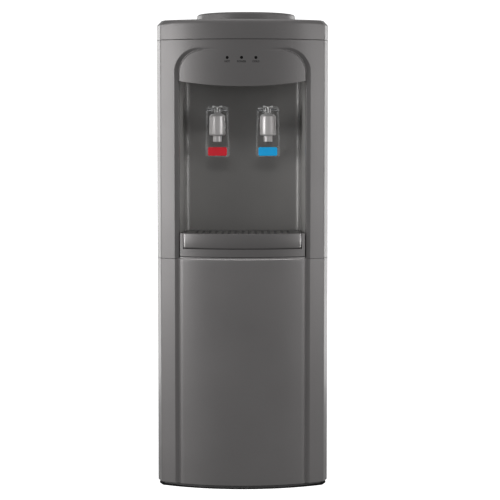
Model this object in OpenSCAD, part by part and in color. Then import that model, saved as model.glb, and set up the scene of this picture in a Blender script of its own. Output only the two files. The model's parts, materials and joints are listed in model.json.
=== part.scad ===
// Free-standing hot and cold water dispenser, top-loading, compressor cooled.
// Millimetres. X to the right as seen from the front, the front faces -Y, Z is up.
// The origin is on the floor, under the centre of the overall box.

/* [Cabinet] */
// Overall width across the side panels
cab_w = 310; // [290:1:340]
// Overall depth from the cover's front lip to the condenser wires
cab_d = 320; // [300:1:360]
// Radius of the bulged front in plan
front_r = 290; // [250:5:400]
// How far the swept front corners cut in from the sides
corner_in = 7.4; // [5:0.2:11]
// How far the swept front corners run back
corner_back = 21.6; // [16:0.2:28]
// Straight part of the moulded front behind each swept corner
side_return = 9; // [6:1:16]
// Wall of the moulded front panels
panel_wall = 2.5; // [1.8:0.1:3.5]
// Thickness of the painted steel sheets
sheet = 1; // [0.6:0.1:1.5]
// Width of the side panels' rear flanges
rear_flange = 14; // [11:1:20]
// Distance from the back panel to the rearmost point of the condenser
rear_reach = 16; // [15:0.5:24]
// Gap left between neighbouring panels
seam = 0.4; // [0.3:0.1:0.8]

/* [Heights] */
// Lower edge of the panels above the floor
panel_bottom = 6.5; // [5:0.5:12]
// Height of the seam between the lower and the upper front
front_seam_z = 415; // [380:1:440]
// Rise of the lower front's middle part above the seam
lower_rise = 4.2; // [3:0.2:8]
// Height of the seam under the top cover
cover_seam_z = 808; // [780:1:840]
// Height of the top cover's side
cover_h = 35.2; // [28:0.2:45]
// Height of the bottle collar above the cover's deck
collar_h = 18.8; // [14:0.2:30]

/* [Front groove] */
// Half width of the niche opening, where the groove begins
niche_half = 114.2; // [105:0.2:120]
// Width of the groove beside the niche
groove_w = 7.8; // [5:0.2:11]
// Radius of the groove floor in plan
groove_r = 240; // [225:1:250]
// Distance from the middle at which the groove has faded out
groove_fade_x = 40; // [30:1:50]
// Height of the groove's arch above the floor
arch_top_z = 793; // [775:1:798]
// Corner radius of the arch's outer edge
arch_outer_r = 44; // [35:1:60]
// Corner radius of the arch's inner edge
arch_inner_r = 53; // [40:1:65]
// Width of the groove at the top of its arch
arch_top_w = 3; // [2:0.5:6]

/* [Hood and niche] */
// Height of the hood's lower edge at its ends
hood_edge_z = 734; // [715:1:745]
// How much lower the hood's edge hangs in the middle
hood_sag = 10; // [4:1:16]
// Depth of the flange behind the hood's lower edge
hood_lip = 12; // [8:1:18]
// Thickness of that flange
hood_lip_t = 3; // [2:0.5:4]
// Distance from the middle plane forward to the niche's back wall
niche_back = 22; // [18:1:30]
// Half width of the niche at its rear corners
niche_rear_half = 107.5; // [100:0.5:112]
// Radius of the niche's rear corners
niche_fillet = 7; // [4:0.5:12]
// Wall of the niche liner
liner_wall = 2.2; // [1.6:0.1:3]
// Height of the niche's ceiling
ceiling_z = 738.5; // [736:0.5:750]

/* [Indicators] */
// Height of the three indicator lamps
lamp_z = 775; // [765:1:782]
// Spacing of the lamps
lamp_pitch = 25.4; // [18:0.2:32]
// Sideways shift of the row of lamps
lamp_shift = -1.5; // [-6:0.5:6]
// Radius of a lamp's lens
lamp_r = 2.2; // [1.5:0.1:3]
// Thickness of the circuit board behind the lamps
board_t = 1.6; // [1:0.2:2.4]

/* [Drip tray] */
// Half width of the drip tray
tray_half = 106.5; // [98:0.5:108]
// Height of the drip tray
tray_h = 27.5; // [20:0.5:32]
// Wall of the drip tray
tray_wall = 2.2; // [1.6:0.1:3]
// Radius of the tray's front corners
tray_corner = 8; // [5:0.5:12]
// Thickness of the slotted grid
grid_t = 3.5; // [2.5:0.5:5]
// How far the grid lies below the tray's rim
grid_drop = 1.2; // [0.6:0.2:3]
// Width of a slot in the grid
slot_w = 5; // [3:0.5:8]
// Spacing of the slots
slot_pitch = 12; // [9:0.5:18]
// Height of the recessed band under the tray
band_h = 14; // [10:0.5:20]
// How far the band lies behind the tray's front
band_inset = 5; // [3:0.5:9]
// Thickness of the shelf that carries the tray
shelf_t = 2.6; // [2:0.2:4]

/* [Taps] */
// Distance of each tap from the middle
tap_x = 46.4; // [40:0.2:60]
// Reach of the tap's axis in front of the niche's back wall
tap_reach = 46; // [44:0.5:56]
// Height of the spout's mouth
spout_z = 625.5; // [600:0.5:640]
// Outer radius of the spout
spout_r = 8; // [7:0.1:9.5]
// Radius of the water way in the spout
spout_bore = 5.5; // [4:0.1:6]
// Length of the spout under the tap's body
spout_len = 11.5; // [8:0.5:16]
// Outer radius of the tap's body
tap_r = 14.5; // [13:0.1:16]
// Height of the tap's body
tap_h = 35; // [30:0.5:42]
// Radius of the valve chamber inside the body
chamber_r = 10.5; // [8.5:0.1:11.5]
// Radius of the tap's shank through the niche wall
shank_r = 9.5; // [8:0.1:11]
// Radius of the stem
stem_r = 2.3; // [1.8:0.1:3]
// Radius of the rubber valve on the stem
valve_r = 8; // [7:0.1:9]
// Height of the lever's pin above the tap's body
pin_rise = 11.5; // [10.5:0.1:13]
// Radius of the lever's pin
pin_r = 1.5; // [1.2:0.05:2]
// Running clearance around the pin
pin_play = 0.05; // [0.02:0.01:0.09]
// Half width of the lever at the pin
lever_top_half = 19.8; // [18.5:0.1:22]
// Half width of the lever at its foot
lever_foot_half = 22.5; // [21:0.1:26]
// Width of a lever arm
lever_arm = 3; // [2.2:0.1:4]
// Length of the lever below its pin
lever_len = 85.5; // [80:0.5:95]
// How far the lever's paddle lies behind the spout
paddle_back = 14; // [11:0.5:16]
// Thickness of the paddle
paddle_t = 3; // [2:0.2:4]
// Height of the coloured tab
tab_h = 16; // [12:0.2:19]
// Half width of the coloured tab
tab_half = 17.4; // [12:0.2:18.5]
// Thickness of the coloured tab
tab_t = 2.4; // [1.6:0.2:3]
// Wire radius of the valve spring
spring_wire = 0.6; // [0.4:0.05:0.8]

/* [Bottle seat] */
// Distance of the bottle's axis to the right of the middle plane
bottle_x = 6; // [-8:1:8]
// Distance of the bottle's axis behind the middle plane
bottle_y = 20; // [14:1:26]
// Radius of the collar at its foot
collar_r = 94.4; // [86:0.2:100]
// Draft of the collar from foot to rim
collar_draft = 3.2; // [1:0.2:6]
// Radius of the collar's mouth
mouth_r = 79; // [74:0.5:82]
// Radius of the socket that takes the bottle's neck
socket_r = 31; // [29:0.5:34]
// Depth of the socket below the funnel
socket_h = 17; // [12:1:22]
// Wall of the funnel
funnel_wall = 2.2; // [1.6:0.1:3]
// Radius of the feed probe
probe_r = 9; // [7:0.5:10]
// Wall of the feed probe
probe_wall = 2; // [1.5:0.1:2.5]
// Height of the probe above the socket's floor
probe_h = 36; // [28:1:44]

/* [Cold water] */
// Distance of the cold tank behind the middle plane
cold_y = 56; // [52:1:60]
// Radius of the cold tank
cold_r = 52; // [48:0.5:53]
// Height of the cold tank
cold_h = 150; // [130:1:155]
// Wall of the steel tanks
tank_wall = 0.8; // [0.6:0.1:1.2]
// Radius of the foam round the cold tank
foam_r = 68; // [66:0.5:70]
// Thickness of the foam under the cold tank
foam_floor = 18; // [12:1:24]
// Radius of the evaporator's tube
coil_tube = 3; // [2.5:0.1:3.2]
// Number of turns of the evaporator
coil_turns = 8; // [5:1:9]
// Rise of the evaporator in one turn
coil_pitch = 14; // [10:0.5:15]

/* [Hot water] */
// Distance of the hot tank behind the middle plane
hot_y = 72; // [68:1:76]
// Radius of the hot tank
hot_r = 42; // [36:0.5:43]
// Height of the hot tank
hot_h = 122; // [100:1:125]
// Gap between the hot tank and the shelf above it
hot_gap = 20; // [14:1:24]
// Height of the heater band
heater_h = 50; // [30:1:60]
// Thickness of the heater band
heater_t = 3; // [2:0.5:4]

/* [Cooling machine] */
// Sideways place of the compressor
comp_x = 25; // [15:1:35]
// Distance of the compressor behind the middle plane
comp_y = 62; // [56:1:68]
// Radius of the compressor's shell
comp_r = 55; // [50:0.5:58]
// Height of the compressor's shell
comp_h = 143; // [130:1:150]
// Height of the opening behind the compressor
bay_top_z = 190; // [180:1:215]
// Radius of the condenser's tube
cond_tube = 2.5; // [2:0.1:2.6]
// Number of runs of the condenser
cond_runs = 12; // [8:2:12]
// Spacing of the runs
cond_pitch = 40; // [34:1:42]
// Half width of the condenser's runs between its bends
cond_half = 106; // [90:1:108]
// Height of the lowest run
cond_low_z = 246; // [240:1:256]
// Radius of the condenser's wires
wire_r = 0.8; // [0.6:0.05:0.9]
// Spacing of the wires
wire_pitch = 11; // [9:0.5:14]

/* [Base] */
// Radius of a foot
foot_r = 14; // [10:0.5:18]
// Height of a foot
foot_h = 8; // [6:0.5:8.5]
// Skirt's distance from the sides
skirt_in = 12; // [9:0.5:16]
// Skirt's distance behind the front
skirt_front = 4; // [3:0.5:8]
// Clearance between the skirt and the floor
skirt_z = 1.5; // [1:0.5:3]
// Thickness of the base's deck
deck_t = 3; // [2:0.5:4]
// Wall of the base's skirt and rim
base_wall = 3; // [2:0.5:4]
// Height of the rim round the deck
rim_h = 14; // [8:1:22]

/* [Rear fittings] */
// Height of the power switches
switch_z = 752; // [740:1:770]
// Distance of the outer switch from the cabinet's side
switch_side = 55; // [50:1:64]
// Spacing of the two switches
switch_pitch = 38; // [34:1:44]
// Height of the drain and of the cord inlet
outlet_z = 207; // [204:0.5:212]
// Sideways place of the drain
drain_x = -60; // [-75:1:-50]
// Distance of the cord inlet from the cabinet's side
gland_side = 65; // [55:1:80]
// Outer radius of the drain's spigot
drain_r = 7; // [6:0.5:8]
// Radius of the cord inlet's hole
gland_bore = 3.6; // [3:0.1:4.5]

/* [Hidden] */
$fn = 64;

// Colours
casing = [0.27, 0.26, 0.26];
casing_dark = [0.16, 0.155, 0.155];
liner_grey = [0.25, 0.24, 0.24];
steel = [0.72, 0.73, 0.74];
silver = [0.76, 0.75, 0.74];
copper = [0.72, 0.42, 0.25];
foam_white = [0.92, 0.92, 0.88];
tube_white = [0.88, 0.89, 0.88];
machine_black = [0.06, 0.06, 0.06];
hot_red = [0.62, 0.12, 0.13];
cold_blue = [0.10, 0.45, 0.65];
clear_grey = [0.75, 0.8, 0.82, 0.4];

// Clearances
seat = 0.3;
fit = 0.35;
tiny = 0.01;
cover_lip = 1;
round_fn = 96;

// Main planes
half_w = cab_w / 2;
front_y = -cab_d / 2 + cover_lip;
rear_y = cab_d / 2;
switch_xs = [half_w - switch_side - switch_pitch, half_w - switch_side];
gland_x = half_w - gland_side;
curve_y = front_y + front_r;
flange_half = half_w - corner_in;
back_outer_y = rear_y - rear_reach;
back_inner_y = back_outer_y - sheet;
side_rear_y = back_inner_y - seat;
deck_z = cover_seam_z + cover_h;
top_z = deck_z + collar_h;
panel_top_z = cover_seam_z - seam;

// A point of the front's curve, moved in by an inset
function front_at(x, inset) = curve_y - sqrt((front_r - inset) ^ 2 - x ^ 2);
corner_front_y = front_at(flange_half, 0);
corner_rear_y = corner_front_y + corner_back;
side_y = corner_rear_y + side_return;
front_depth = side_y - front_y;
corner_len = norm([corner_in, corner_back]);
corner_nx = corner_back / corner_len;
corner_ny = corner_in / corner_len;

// Plan of the front: a shallow arc between two swept corners, open behind at back_y
module front_plan(inset, back_y) {
    x_side = half_w - inset;
    slope = corner_back / corner_in;
    y_side = corner_rear_y + inset * (corner_ny - (1 - corner_nx) * slope);
    far = 2;
    x_far = x_side - far * corner_in;
    y_far = y_side - far * corner_back;
    intersection() {
        translate([0, curve_y]) circle(r = front_r - inset, $fn = round_fn);
        polygon([[-x_side, back_y], [-x_side, y_side], [-x_far, y_far], [-x_far, front_y - 1],
            [x_far, front_y - 1], [x_far, y_far], [x_side, y_side], [x_side, back_y]]);
    }
}

// The space inside the casing, in plan
module inner_plan(gap) {
    intersection() {
        front_plan(panel_wall + gap, side_y + 1 + tiny);
        translate([0, groove_y]) circle(r = groove_r - panel_wall - gap, $fn = round_fn);
    }
    x_in = half_w - sheet - gap;
    translate([-x_in, side_y + 1]) square([2 * x_in, side_rear_y - sheet - gap - side_y - 1]);
}

// Points along an arc, counted from angle a0 to a1
function arc(c, r, a0, a1, n) = [for (i = [0:n])
    c + r * [cos(a0 + (a1 - a0) * i / n), sin(a0 + (a1 - a0) * i / n)]];

// Extrudes a front view, drawn in X and Z, from y0 back to y1
module along_y(y0, y1) translate([0, y1, 0]) rotate([90, 0, 0]) linear_extrude(y1 - y0) children();

// Extrudes a side view, drawn in Y and Z, from x0 to x1
module along_x(x0, x1) translate([x0, 0, 0]) rotate([90, 0, 90]) linear_extrude(x1 - x0) children();

// Cylinders along Y and along X
module rod_y(x, z, r, y0, y1) translate([x, y1, z]) rotate([90, 0, 0]) cylinder(r = r, h = y1 - y0);
module rod_x(y, z, r, x0, x1) translate([x0, y, z]) rotate([0, 90, 0]) cylinder(r = r, h = x1 - x0);

// Smooth route through hand-picked points
function blend(a, b, c, d, t) = 0.5 * (2 * b + (c - a) * t + (2 * a - 5 * b + 4 * c - d) * t ^ 2
    + (3 * b - a - 3 * c + d) * t ^ 3);
function smooth(p, n) = concat([for (i = [0:len(p) - 2]) for (k = [0:n - 1])
    blend(p[max(i - 1, 0)], p[i], p[i + 1], p[min(i + 2, len(p) - 1)], k / n)], [p[len(p) - 1]]);
function unit(v) = v / norm(v);
function heading(q, i) = unit(q[min(i + 1, len(q) - 1)] - q[max(i - 1, 0)]);
function across(v) = unit(cross(v, abs(v[2]) < 0.9 ? [0, 0, 1] : [1, 0, 0]));
function carried(n, t) = unit(n - (n * t) * t);
function frames(q) = [for (i = 0, n = across(heading(q, 0)); i < len(q);
    n = carried(n, heading(q, min(i + 1, len(q) - 1))), i = i + 1) n];

// A round tube swept along points as one closed skin
module tube(q, r, sides) {
    normals = frames(q);
    rings = len(q);
    points = [for (i = [0:rings - 1]) let (t = heading(q, i), n = normals[i], b = cross(t, n))
        for (k = [0:sides - 1]) q[i] + r * (cos(360 * k / sides) * n + sin(360 * k / sides) * b)];
    walls = [for (i = [0:rings - 2]) for (k = [0:sides - 1]) let (m = (k + 1) % sides)
        each [[i * sides + k, (i + 1) * sides + m, i * sides + m],
            [i * sides + k, (i + 1) * sides + k, (i + 1) * sides + m]]];
    ends = [[for (k = [0:sides - 1]) k],
        [for (k = [sides - 1:-1:0]) (rings - 1) * sides + k]];
    polyhedron(points = points, faces = concat(walls, ends), convexity = 10);
}

// Front groove, shared by both front panels
groove_out = niche_half + groove_w;
groove_y = front_at(groove_fade_x, 0) + sqrt(groove_r ^ 2 - groove_fade_x ^ 2);
arch_base_z = panel_bottom - 1;

module arch(half, top, r) {
    translate([-half, arch_base_z]) square([2 * half, top - r - arch_base_z]);
    translate([r - half, arch_base_z]) square([2 * (half - r), top - arch_base_z]);
    for (s = [-1, 1]) translate([s * (half - r), top - r]) circle(r = r, $fn = round_fn);
}

module groove_face(grow) difference() {
    arch(groove_out + grow, arch_top_z + grow, arch_outer_r + grow);
    arch(niche_half - 0.2 - grow, arch_top_z - arch_top_w - grow, arch_inner_r - grow);
}

module groove_cut() intersection() {
    along_y(front_y - 2, side_y) groove_face(0);
    difference() {
        translate([-half_w, front_y - 2, 0]) cube([cab_w, front_depth, cover_seam_z]);
        translate([0, groove_y, -1]) cylinder(r = groove_r, h = deck_z, $fn = round_fn);
    }
}

module groove_backing(z0, z1) intersection() {
    along_y(front_y - 2, side_y) groove_face(panel_wall);
    translate([0, 0, z0]) linear_extrude(z1 - z0) intersection() {
        front_plan(tiny, side_y - 1);
        groove_ring();
    }
}

// Everything in front of the groove's rear face, in plan
module groove_ring() difference() {
    translate([-half_w, front_y]) square([cab_w, front_depth]);
    translate([0, groove_y]) circle(r = groove_r - panel_wall, $fn = round_fn);
}

module front_shell(z0, z1) {
    translate([0, 0, z0]) linear_extrude(z1 - z0) difference() {
        front_plan(0, side_y);
        front_plan(panel_wall, side_y + 1);
    }
    groove_backing(z0, z1);
}

// Front view of everything above the hood's lower edge
hood_low_z = hood_edge_z - hood_sag;
hood_edge_r = (niche_half ^ 2 + hood_sag ^ 2) / (2 * hood_sag);
module above_hood_edge(raise) translate([0, hood_low_z + raise + hood_edge_r])
    circle(r = hood_edge_r, $fn = round_fn);

lamp_xs = [for (i = [-1:1]) lamp_shift + i * lamp_pitch];
function lamp_y(x) = front_at(x, 0);
function groove_back(x) = groove_y - sqrt((groove_r - panel_wall) ^ 2 - x ^ 2) + seat;

lip_half = niche_half - panel_wall / 2;
module upper_front_panel() color(casing) {
    z0 = front_seam_z + seam;
    difference() {
        union() {
            front_shell(z0, panel_top_z);
            intersection() {
                along_y(front_y, side_y) difference() {
                    translate([-lip_half, hood_low_z - 1])
                        square([2 * lip_half, hood_sag + hood_lip_t + 3]);
                    above_hood_edge(hood_lip_t);
                }
                translate([0, 0, hood_low_z - 2]) linear_extrude(hood_sag + hood_lip_t + 6) difference() {
                    front_plan(panel_wall / 2, side_y - 1);
                    front_plan(panel_wall + hood_lip, side_y);
                }
            }
        }
        groove_cut();
        along_y(front_y - 1, side_y) difference() {
            translate([-niche_half, z0 - 1]) square([2 * niche_half, hood_edge_z + tiny - z0 + 1]);
            above_hood_edge(0);
        }
        for (x = lamp_xs) rod_y(x, lamp_z, lamp_r + fit / 2, front_y - 1, lamp_y(x) + panel_wall + 1);
    }
}

// Raised middle of the lower front, with a bevel along its top edge
middle_half = niche_half - fit;
bevel = 5;
rise_depth = 12;
module lower_front_panel() color(casing) {
    top = front_seam_z + lower_rise;
    difference() {
        union() {
            front_shell(panel_bottom, front_seam_z);
            translate([0, 0, front_seam_z - panel_wall]) linear_extrude(lower_rise + panel_wall)
                intersection() {
                    difference() {
                        front_plan(0, side_y - 1);
                        front_plan(rise_depth, side_y);
                    }
                    translate([-middle_half, front_y]) square([2 * middle_half, front_depth]);
                }
        }
        groove_cut();
        translate([0, curve_y, 0]) rotate_extrude($fn = round_fn) polygon([[front_r - bevel, top + tiny],
            [front_r + 1, top + tiny], [front_r + 1, top - bevel - 1], [front_r, top - bevel]]);
    }
}

// Niche
liner_back_y = -niche_back;
liner_front_y = groove_back(niche_half + liner_wall);
ceiling_half = niche_half - panel_wall - seat;
tray_floor_z = front_seam_z + lower_rise + seam + band_h;
liner_bottom_z = tray_floor_z + seat;
function liner_outline(grow) = concat([[-niche_half - grow, liner_front_y]],
    [for (p = arc([niche_fillet - niche_rear_half, liner_back_y - niche_fillet],
        niche_fillet + grow, 180, 90, 8)) p],
    [for (p = arc([niche_rear_half - niche_fillet, liner_back_y - niche_fillet],
        niche_fillet + grow, 90, 0, 8)) p],
    [[niche_half + grow, liner_front_y]]);

tap_y = liner_back_y - tap_reach;
shank_z = spout_z + spout_len + 0.52 * tap_h;
module niche_liner() color(liner_grey) {
    top = ceiling_z + liner_wall;
    translate([0, 0, ceiling_z]) linear_extrude(liner_wall) intersection() {
        front_plan(panel_wall + seat, liner_front_y + 1);
        translate([-ceiling_half, front_y]) square([2 * ceiling_half, front_depth]);
    }
    difference() {
        translate([0, 0, liner_bottom_z]) linear_extrude(top - liner_bottom_z)
            polygon(liner_outline(liner_wall));
        translate([0, 0, liner_bottom_z - 1]) linear_extrude(ceiling_z - liner_bottom_z + 1) polygon(concat(
            [[-niche_half, liner_front_y - 1]], liner_outline(0), [[niche_half, liner_front_y - 1]]));
        for (s = [-1, 1]) rod_y(s * tap_x, shank_z, shank_r + fit, liner_back_y - 1,
            liner_back_y + liner_wall + 1);
    }
}

// Shelf under the tray, with the recessed band and two cheeks
cheek_out = niche_half - 1.7;
tray_top_z = tray_floor_z + seat + tray_h;
shelf_rear_y = liner_back_y + liner_wall;
shelf_rear_half = niche_half + liner_wall + 2;
shelf_step_y = groove_back(shelf_rear_half);
cheek_inset = 1.5;
module tray_shelf() color(casing) {
    z0 = tray_floor_z - band_h;
    translate([0, 0, z0]) linear_extrude(band_h) intersection() {
        difference() {
            front_plan(band_inset, liner_front_y);
            front_plan(band_inset + panel_wall, liner_front_y + 1);
        }
        translate([-cheek_out, front_y]) square([2 * cheek_out, front_depth]);
    }
    translate([0, 0, tray_floor_z - shelf_t]) linear_extrude(shelf_t) {
        intersection() {
            front_plan(band_inset, shelf_step_y + 1);
            translate([-cheek_out, front_y]) square([2 * cheek_out, front_depth]);
        }
        translate([-shelf_rear_half, shelf_step_y])
            square([2 * shelf_rear_half, shelf_rear_y - shelf_step_y]);
    }
    for (s = [-1, 1]) translate([0, 0, z0]) linear_extrude(tray_top_z - z0) intersection() {
        front_plan(cheek_inset, liner_front_y - seat);
        translate([s > 0 ? tray_half + fit : -cheek_out, front_y])
            square([cheek_out - tray_half - fit, front_depth]);
    }
}

// Plan of the tray: the front's arc, rounded corners, straight sides and a flat back
tray_rear_r = 10;
tray_rear_y = liner_back_y - 2;
function tray_outline(inset) =
    let (half = tray_half - inset, r = max(tray_corner - inset, 1), reach = front_r - inset - r,
        cx = half - r, cy = curve_y - sqrt(reach ^ 2 - cx ^ 2), turn = asin(cx / reach),
        br = tray_rear_r - inset, by = tray_rear_y - inset - br, bx = half - br)
    concat(arc([0, curve_y], front_r - inset, -90 - turn, -90 + turn, 24),
        arc([cx, cy], r, -90 + turn, 0, 6), arc([bx, by], br, 0, 90, 5),
        arc([-bx, by], br, 90, 180, 5), arc([-cx, cy], r, 180, 270 - turn, 6));

tray_foot_z = tray_floor_z + seat;
grid_top_z = tray_top_z - grid_drop;
grid_z = grid_top_z - grid_t;
ledge = 2;
module drip_tray() color(casing) difference() {
    translate([0, 0, tray_foot_z]) linear_extrude(tray_h) polygon(tray_outline(0));
    translate([0, 0, tray_foot_z + tray_wall]) linear_extrude(tray_h)
        polygon(tray_outline(tray_wall + ledge));
    translate([0, 0, grid_z - seat]) linear_extrude(tray_h) polygon(tray_outline(tray_wall));
}

slot_len = 30;
slot_gap = 7;
slot_rows = 3;
slot_rear_y = tray_rear_y - 8;
module drip_grid() color(casing_dark) {
    inset = tray_wall + fit;
    reach = tray_half - tray_wall - tray_rear_r - slot_w;
    count = floor(reach / slot_pitch);
    difference() {
        translate([0, 0, grid_z]) linear_extrude(grid_t) polygon(tray_outline(inset));
        for (i = [-count:count]) for (row = [1:slot_rows])
            translate([i * slot_pitch - slot_w / 2, slot_rear_y + slot_gap - row * (slot_len + slot_gap),
                grid_z - 1])
                cube([slot_w, slot_len, grid_t + 2]);
    }
}

// Top cover: the cabinet's plan with a rounded upper edge
cover_round = 8;
rear_corner = 4;
function cover_outline(inset) =
    let (r = front_r + cover_lip - inset, x = flange_half - inset, turn = asin(x / r),
        half = half_w - inset,
        yb = corner_rear_y + inset * corner_ny, rear = back_outer_y - inset, c = rear_corner)
    concat(arc([0, curve_y], r, -90 - turn, -90 + turn, 24), [[half, yb], [half, rear - c],
        [half - c, rear], [c - half, rear], [-half, rear - c], [-half, yb]]);

module top_cover() color(casing) difference() {
    hull() {
        translate([0, 0, cover_seam_z]) linear_extrude(tiny) polygon(cover_outline(0));
        for (a = [0:18:90]) translate([0, 0, deck_z - cover_round * (1 - sin(a)) - tiny])
            linear_extrude(tiny) polygon(cover_outline(cover_round * (1 - cos(a))));
    }
    translate([0, 0, cover_seam_z - 1]) linear_extrude(cover_h - panel_wall + 1)
        polygon(cover_outline(panel_wall + cover_lip));
    translate([bottle_x, bottle_y, deck_z - cover_h]) cylinder(r = mouth_r + 2, h = cover_h + 1);
}

// Bottle seat: collar, funnel and feed probe share one axis
collar_foot_z = deck_z + seat;
flange_r = mouth_r + 5;
flange_t = 2;
module bottle_collar() color(casing) translate([bottle_x, bottle_y, 0])
    rotate_extrude($fn = round_fn) {
    rim_r = collar_r - collar_draft;
    step_z = collar_foot_z + flange_t + 0.5;
    polygon(concat([[flange_r + 0.6, collar_foot_z], [collar_r, collar_foot_z], [collar_r,
        collar_foot_z + 2.5],
        [collar_r - 1.6, collar_foot_z + 4.5]], arc([rim_r - 4, top_z - 4], 4, 0, 90, 5),
        arc([mouth_r + 3, top_z - 3], 3, 90, 180, 5), [[mouth_r - 0.5, step_z], [flange_r + 0.6, step_z]]));
}

socket_floor_z = deck_z - 30 - socket_h;
funnel_z = socket_floor_z + socket_h;
module bottle_receiver() color(liner_grey) translate([bottle_x, bottle_y, 0]) difference() {
    rotate_extrude($fn = round_fn) polygon([[probe_r + fit, socket_floor_z - funnel_wall],
        [socket_r + funnel_wall, socket_floor_z - funnel_wall], [socket_r + funnel_wall, funnel_z - 1],
        [mouth_r, deck_z - 4], [mouth_r, collar_foot_z - seat], [flange_r, collar_foot_z - seat],
        [flange_r, collar_foot_z + flange_t], [mouth_r - 2, collar_foot_z + flange_t],
        [mouth_r - funnel_wall, deck_z - 2], [socket_r + 4, funnel_z + 2], [socket_r, funnel_z - 1],
        [socket_r, socket_floor_z], [probe_r + fit, socket_floor_z]]);
}

probe_foot_z = socket_floor_z - 26;
module feed_probe() color(tube_white) translate([bottle_x, bottle_y, 0]) difference() {
    union() {
        translate([0, 0, probe_foot_z]) cylinder(r = probe_r,
            h = socket_floor_z + probe_h - 10 - probe_foot_z);
        translate([0, 0, socket_floor_z + probe_h - 10]) cylinder(r1 = probe_r, r2 = 3, h = 10);
        translate([0, 0, socket_floor_z + seat]) cylinder(r = probe_r + 5, h = 2);
    }
    translate([0, 0, probe_foot_z - 1])
        cylinder(r = probe_r - probe_wall, h = socket_floor_z + probe_h - 12 - probe_foot_z);
    translate([-probe_r - 1, -2, socket_floor_z + 6]) cube([2 * probe_r + 2, 4, 14]);
}

// Cold tank, its lid, baffle, foam and evaporator
lid_t = 2;
cold_top_z = socket_floor_z - funnel_wall - seat - lid_t;
cold_z = cold_top_z - cold_h;
foam_z = cold_z - foam_floor;
nipple_r = 4;
nipple_z = foam_z - 8;
tap_nipple = [25, 30];
feed_nipple = [41, 64];
module cold_tank() color(steel) difference() {
    union() {
        translate([0, cold_y, cold_z]) cylinder(r = cold_r, h = cold_h, $fn = round_fn);
        for (p = [tap_nipple, feed_nipple]) translate([p[0], p[1], nipple_z])
            cylinder(r = nipple_r, h = cold_z + 1 - nipple_z);
    }
    translate([0, cold_y, cold_z + tank_wall]) cylinder(r = cold_r - tank_wall, h = cold_h, $fn = round_fn);
    for (p = [tap_nipple, feed_nipple]) translate([p[0], p[1], nipple_z - 1])
        cylinder(r = nipple_r - tank_wall, h = cold_z + 3 - nipple_z);
}

module cold_tank_lid() color(tube_white) difference() {
    union() {
        translate([0, cold_y, cold_top_z]) cylinder(r = cold_r + 5, h = lid_t, $fn = round_fn);
        translate([0, cold_y, cold_top_z - 4]) cylinder(r = cold_r - tank_wall - fit, h = 5,
            $fn = round_fn);
    }
    translate([0, cold_y, cold_top_z - 5]) cylinder(r = cold_r - tank_wall - fit - 2, h = 5,
        $fn = round_fn);
    translate([bottle_x, bottle_y, cold_top_z - 1]) cylinder(r = probe_r + fit, h = lid_t + 2);
}

// The baffle keeps incoming water away from the chilled water; its tube feeds the hot tank
baffle_z = cold_z + 0.55 * cold_h;
module baffle() color(tube_white) difference() {
    union() {
        translate([0, cold_y, baffle_z]) cylinder(r = cold_r - tank_wall - 1, h = 3, $fn = round_fn);
        translate([feed_nipple[0], feed_nipple[1], cold_z + tank_wall + seat])
            cylinder(r = nipple_r + 1.2, h = baffle_z - cold_z);
    }
    translate([feed_nipple[0], feed_nipple[1], cold_z]) cylinder(r = nipple_r, h = cold_h);
    for (a = [100:40:340]) translate([36 * cos(a), cold_y + 36 * sin(a), baffle_z - 1])
        cylinder(r = 3, h = 5);
}

coil_r = cold_r + 0.4 + coil_tube;
coil_z = cold_z + 15;
coil_end = 48;
cavity_r = coil_r + coil_tube + 0.6;
coil_rings = 24;
coil_route = concat([[coil_end, cold_y + coil_r, coil_z], [10, cold_y + coil_r, coil_z]],
    [for (i = [0:coil_turns * coil_rings]) let (a = 90 + 360 * i / coil_rings)
        [coil_r * cos(a), cold_y + coil_r * sin(a), coil_z + coil_pitch * i / coil_rings]],
    [[-10, cold_y + coil_r, coil_z + coil_turns * coil_pitch],
        [-coil_end, cold_y + coil_r, coil_z + coil_turns * coil_pitch]]);
coil_gap = min([for (i = [0:len(coil_route) - 1]) for (j = [i + 6:1:len(coil_route) - 1])
    norm(coil_route[i] - coil_route[j])]) - 2 * coil_tube;
module evaporator_coil() color(copper) {
    echo("least gap between the evaporator's turns, in mm", coil_gap);
    tube(coil_route, coil_tube, 6);
}

module tank_foam() color(foam_white) difference() {
    translate([0, cold_y, foam_z]) cylinder(r = foam_r, h = cold_top_z - foam_z, $fn = round_fn);
    translate([0, cold_y, cold_z - seat]) cylinder(r = cavity_r, h = cold_h + 1, $fn = round_fn);
    for (p = [tap_nipple, feed_nipple]) translate([p[0], p[1], foam_z - 1])
        cylinder(r = nipple_r + fit, h = foam_floor + 2);
    rod_x(cold_y + coil_r, coil_z, coil_tube + fit, 0, foam_r);
    rod_x(cold_y + coil_r, coil_z + coil_turns * coil_pitch, coil_tube + fit, -foam_r, 0);
}

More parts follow.
